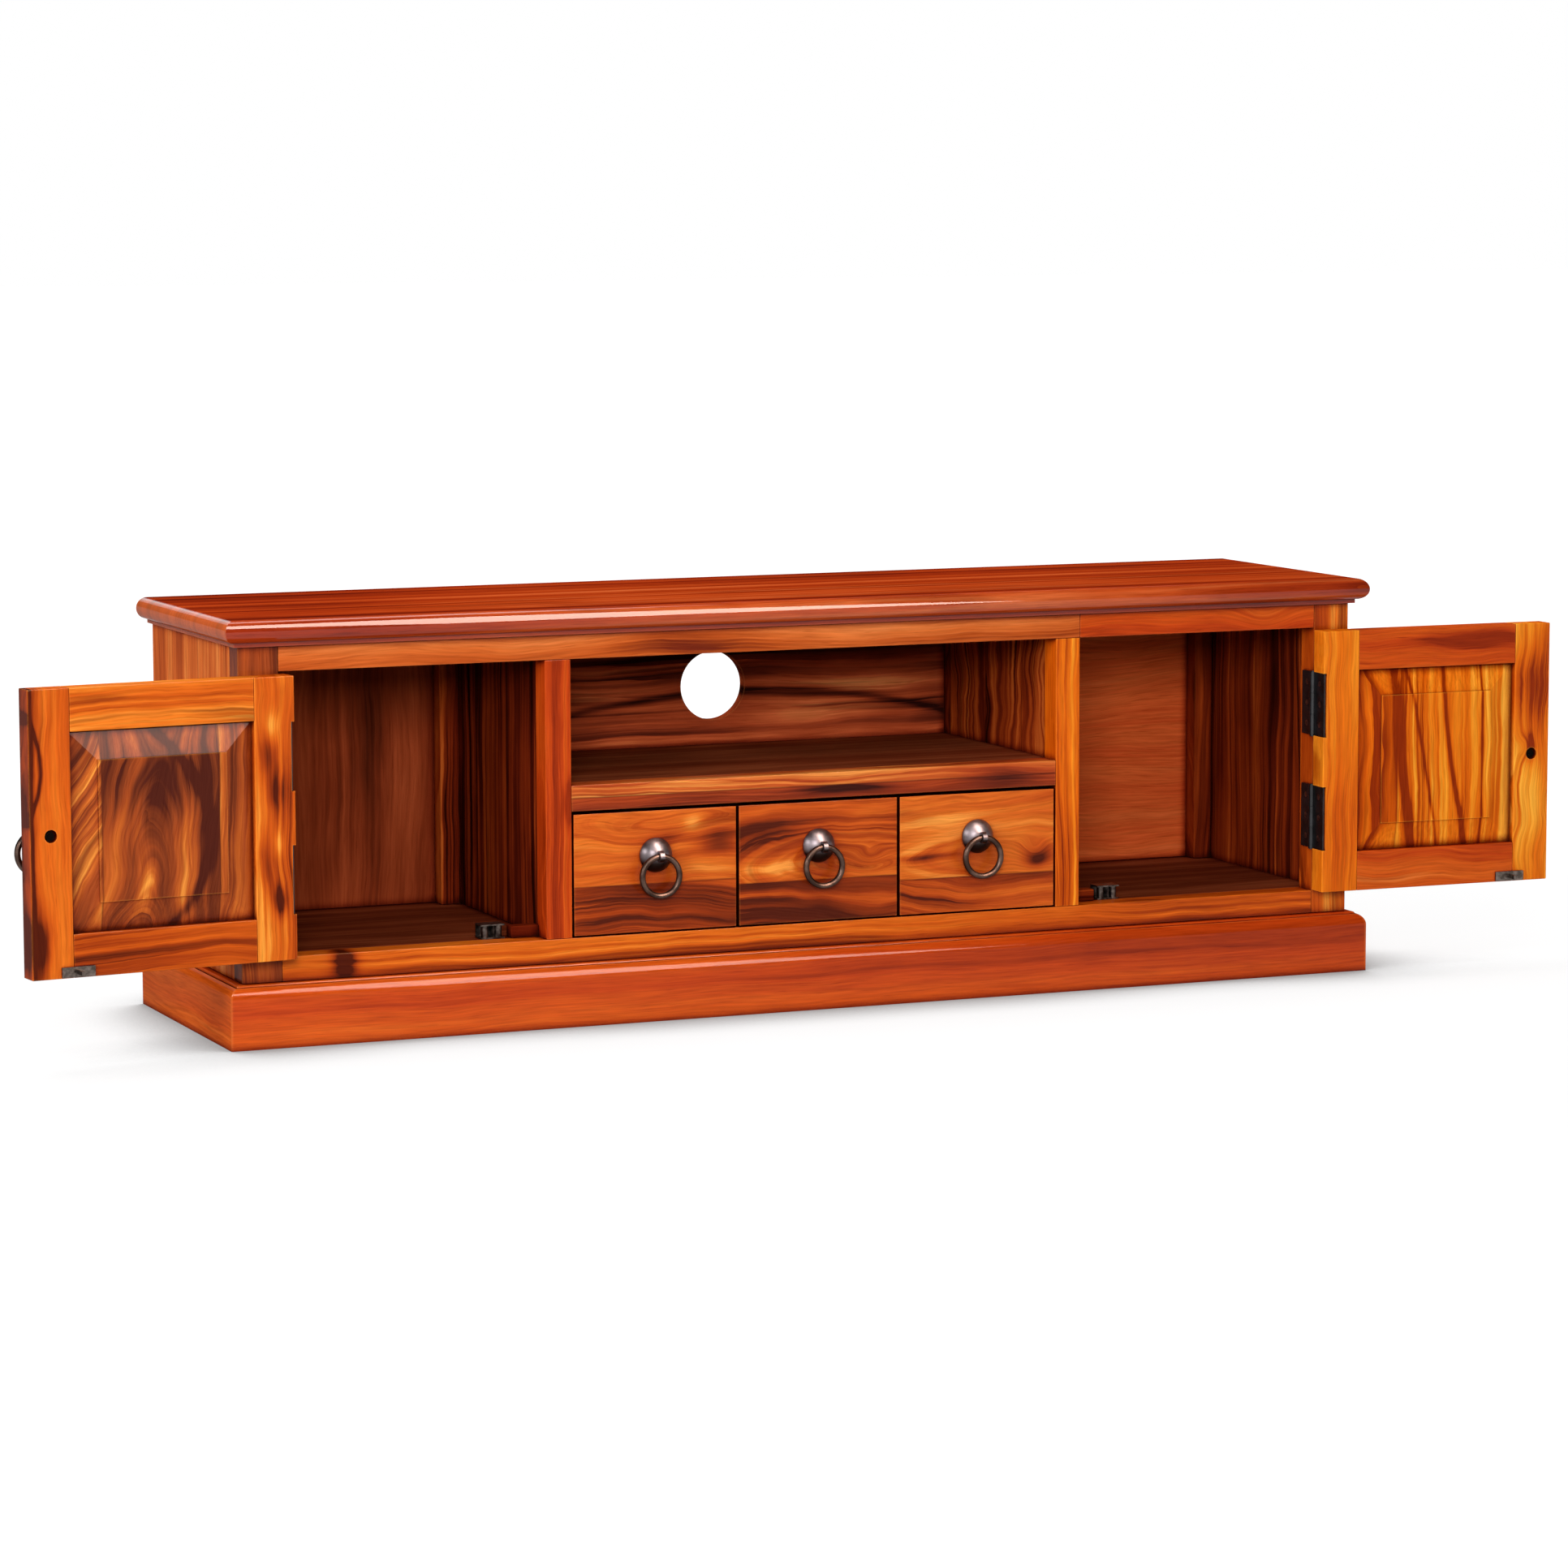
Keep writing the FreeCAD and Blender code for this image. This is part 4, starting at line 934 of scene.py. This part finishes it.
@dataclass
class RightDoor(Assembly):
    """Frame of golden stiles and red rails round a golden panel with dark veins."""

    name: str = "door_right"
    turn: float = math.radians(179.0)
    hinge: Point = (0.5425, -0.1375, 0.0)
    seed: float = 51.0

    def woods(self) -> dict[str, Timber]:
        """Wood of the frame and the panel."""
        stile = Timber(GOLD, Axis.Z, Axis.Y, reach=6.0)
        return {
            "door_right_hinge_stile": replace(
                stile, seed=self.seed + 1, gain=0.8, mottle=0.5, patches=(Patch(-0.06, 0.0, 0.08, 0.05, -0.15),)),
            "door_right_pull_stile": replace(
                stile, bands=50, reach=8.0, seed=self.seed + 2, tone=0.06, swirl=0.005, gain=1.8, mottle=1.0,
                knots=(Knot(0.006, 0.006, 0.014, 0.01, 0.01),),
                patches=(Patch(0.07, 0.003, 0.05, 0.02, -0.5), Patch(0.006, 0.006, 0.012, 0.007, -1.2),
                         Patch(-0.05, -0.004, 0.04, 0.012, 0.35))),
            "door_right_rails": replace(
                stile, grain=Axis.X, colours=PLINTH, seed=self.seed + 3, gain=0.9, mottle=0.5,
                patches=(Patch(-0.045, 0.1165, 0.05, 0.006, -1.0),)),
            "door_right_panel": Timber(
                GOLD, Axis.Z, Axis.Y, bands=48, pith=(0.25, 0.05), seed=self.seed + 4, wander=0.014, reach=5.0,
                swirl=0.005, streak=0.7, gain=1.6, coat=0.06,
                staves=(Stave(-1.0, 0.14), Stave(-0.053, 0.05, 0.0, 0.1), Stave(0.044, -0.14, 0.0, 0.2)),
                veins=(Vein(0.04, 0.12, -0.6, 0.005, -0.9), Vein(0.014, 0.2, 0.0, 0.002, -0.5),
                       Vein(-0.017, 0.15, -0.8, 0.003, -0.7), Vein(-0.054, 0.0, 0.0, 0.0015, -0.6))),
        }


@dataclass
class Hardware:
    """Hinges, screws, catches and ring pulls.

    Attributes:
        doors: the doors, whose pulls have sunk nuts.
        nut: distance of those nuts behind the hinge's axis, in metres.
    """

    doors: tuple[LeftDoor | RightDoor, ...] = ()
    nut: float = 0.014

    def dress(self) -> None:
        """Give each piece of hardware its metal; the nuts sunk in the doors are painted near black, as shade in their
        holes.
        """
        black = HINGE_BLACK.material("hinge_black")
        metals = {
            "_pull": PULL_BRONZE.material("pull_bronze"),
            "_ring": RING_BRONZE.material("ring_bronze"),
            "hinge_screws": SCREW_STEEL.material("screw_steel"),
            "hinge_leaves": black,
            "hinge_pins": black,
            "roller_catches": CATCH_STEEL.material("catch_steel"),
            "_strike": STRIKE_STEEL.material("strike_steel"),
        }
        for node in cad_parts:
            for ending, metal in metals.items():
                if node.removesuffix("_post").endswith(ending):
                    paint(node, metal)
        for door in self.doors:
            paint(f"{door.name}_pull", PULL_BRONZE.material(f"{door.name}_bronze", door.hinge, door.turn, self.nut))
        log.info("hardware: %d metals", len(metals))


@dataclass(frozen=True)
class Lamp:
    """Soft rectangular lamp that points at a target; a gloss lamp only shows in reflections."""

    name: str
    place: Point
    target: Point
    size: Span
    power: float
    gloss: bool = False
    gloss_tint: ClassVar[Point] = (1.0, 0.8, 0.68)

    def hang(self) -> None:
        """Put the lamp in the scene, out of the camera's sight."""
        data = bpy.data.lights.new(self.name, "AREA")
        data.shape = "RECTANGLE"
        data.size, data.size_y = self.size
        data.energy = self.power
        data.color = self.gloss_tint if self.gloss else WHITE[:3]
        made = bpy.data.objects.new(self.name, data)
        aim = (Vector(self.target) - Vector(self.place)).to_track_quat("-Z", "Y")
        made.matrix_world = Matrix.Translation(self.place) @ aim.to_matrix().to_4x4()
        made.visible_diffuse = not self.gloss
        made.visible_camera = False
        bpy.context.scene.collection.objects.link(made)


LAMPS = (
    Lamp("front", (-1.9, -4.6, 1.5), (0.0, 0.0, 0.2), (1.4, 1.0), 150.0),
    Lamp("key", (-0.6, -2.6, 2.6), (0.0, 0.0, 0.2), (2.4, 0.3), 24.0),
    Lamp("left", (-3.4, -1.5, 1.3), (-0.4, 0.0, 0.2), (1.2, 1.2), 62.0),
    Lamp("over", (-0.4, 0.5, 2.5), (-0.2, 0.0, 0.4), (2.4, 0.8), 32.0),
    Lamp("sheen", (0.7, -2.2, 2.1), (-0.3, -0.15, 0.39), (0.9, 3.0), 230.0, gloss=True),
    Lamp("rear", (0.8, 4.2, 2.2), (0.0, 0.1, 0.2), (4.0, 2.0), 60.0),
    Lamp("right", (3.6, 0.4, 1.3), (0.5, 0.0, 0.2), (1.2, 1.2), 40.0),
)


@dataclass
class Studio:
    """White floor and backdrop, soft lamps and the camera.

    Attributes:
        eye: the camera's place.
        yaw, pitch, roll: its angles in degrees.
        focal, image: focal length and picture width, in pixels.
        sensor, clip: sensor width in millimetres, and farthest distance seen.
        floor_half: half the floor's width.
        floor_bounce, floor_seen: its grey for soft light, and for the camera and mirrors.
        shade_reach, shade_span: distance and openness over which the cabinet's painted shadow falls on it.
        shade_glow, open_glow: its glow in the painted shadow, and what the open floor adds.
        far_span, far_glow: where it fades into the backdrop, and what that adds.
        horizon: height at which mirrored rays leave the white sweep for the dim room.
        room, fill: brightness of that room, and of the backdrop for soft light.
    """

    eye: Point = (-1.936, -4.620, 0.813)
    yaw: float = 22.95
    pitch: float = 6.93
    roll: float = -0.129
    focal: float = 6245.0
    image: float = 1932.0
    sensor: float = 36.0
    clip: float = 100.0
    floor_half: float = 30.0
    floor_bounce: float = 0.36
    floor_seen: float = 0.15
    shade_reach: float = 0.15
    shade_span: Span = (0.48, 0.92)
    shade_glow: float = 0.26
    open_glow: float = 0.6
    far_span: Span = (0.9, 2.4)
    far_glow: float = 0.2
    horizon: Span = (0.03, 0.06)
    room: float = 0.03
    fill: float = 0.2

    def camera(self) -> None:
        """Camera at the photograph's angle: looks along yaw and pitch, turned by roll."""
        data = bpy.data.cameras.new("photo_camera")
        data.sensor_width = self.sensor
        data.lens = self.focal / self.image * self.sensor
        data.clip_end = self.clip
        made = bpy.data.objects.new("photo_camera", data)
        yaw, pitch, roll = (math.radians(angle) for angle in (self.yaw, self.pitch, self.roll))
        ahead = Vector((math.sin(yaw) * math.cos(pitch), math.cos(yaw) * math.cos(pitch), -math.sin(pitch)))
        right = Vector((math.cos(yaw), -math.sin(yaw), 0.0))
        up = right.cross(ahead)
        level = right * math.cos(roll) + up * math.sin(roll)
        above = level.cross(ahead)
        turn = Matrix((level, above, -ahead)).transposed()
        made.matrix_world = Matrix.Translation(self.eye) @ turn.to_4x4()
        bpy.context.scene.collection.objects.link(made)
        bpy.context.scene.camera = made

    def floor_material(self) -> bpy.types.Material:
        """Pale floor that glows white to the camera and to mirrors, with a painted shadow where the cabinet encloses
        it.
        """
        g = Graph(bpy.data.materials.new("floor_white"))
        place = g.own_place(ORIGIN, 0.0)
        far = g.step(g.length(place[0], place[1]), *self.far_span)
        camera, mirror = g.rays()
        seen = g.math("MAXIMUM", camera, mirror)
        bounce, shown = ((level, level, level, 1.0) for level in (self.floor_bounce, self.floor_seen))
        pale = g.node("BsdfDiffuse")
        g.feed(pale.inputs[0], g.mix(seen, bounce, shown))
        # Painted shadow: the floor's glow dims where ambient occlusion finds the cabinet close by.
        clear = g.step(g.openness(self.shade_reach, samples=16), *self.shade_span)
        glow = g.add(g.scaled(clear, self.open_glow, self.shade_glow), g.scaled(far, self.far_glow))
        lift = g.node("Emission")
        g.feed(lift.inputs[0], WHITE)
        g.feed(lift.inputs[1], g.times(glow, seen))
        both = g.node("AddShader")
        g.feed(both.inputs[0], pale.outputs[0])
        g.feed(both.inputs[1], lift.outputs[0])
        g.close(both.outputs[0])
        return g.owner

    def floor(self) -> None:
        """Floor: one wide square, which belongs to the stage and not to the part."""
        half = self.floor_half
        mesh = bpy.data.meshes.new("floor")
        corners = [(-half, -half, 0.0), (half, -half, 0.0), (half, half, 0.0), (-half, half, 0.0)]
        mesh.from_pydata(corners, [], [(0, 1, 2, 3)])
        slab = bpy.data.objects.new("floor", mesh)
        slab.data.materials.append(self.floor_material())
        bpy.context.scene.collection.objects.link(slab)

    def world(self) -> None:
        """World: white to the camera; reflections see a low white sweep under a dim room; soft fill elsewhere."""
        world = bpy.data.worlds.new("studio")
        bpy.context.scene.world = world
        g = Graph(world)
        camera, mirror = g.rays()
        height = g.parts(g.node("TexCoord").outputs["Generated"])[Axis.Z.value]
        dim = g.times(mirror, g.step(height, *self.horizon, 1.0, self.room))
        soft = g.times(g.math("SUBTRACT", 1.0, mirror), self.fill)
        back = g.node("Background")
        g.feed(back.inputs[0], WHITE)
        g.feed(back.inputs[1], g.math("MAXIMUM", g.add(dim, soft), camera))
        g.close(back.outputs[0], "OutputWorld")

    def build(self) -> None:
        """Set the whole studio."""
        self.camera()
        self.floor()
        self.world()
        for lamp in LAMPS:
            lamp.hang()
        bpy.context.scene.view_settings.view_transform = "Standard"


def main() -> None:
    """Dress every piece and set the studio."""
    logging.basicConfig(level=logging.INFO)
    doors = (LeftDoor(), RightDoor())
    for assembly in (Carcass(), *drawers(), *doors, Hardware(doors)):
        assembly.dress()
    Studio().build()


if __name__ == "__main__":
    main()
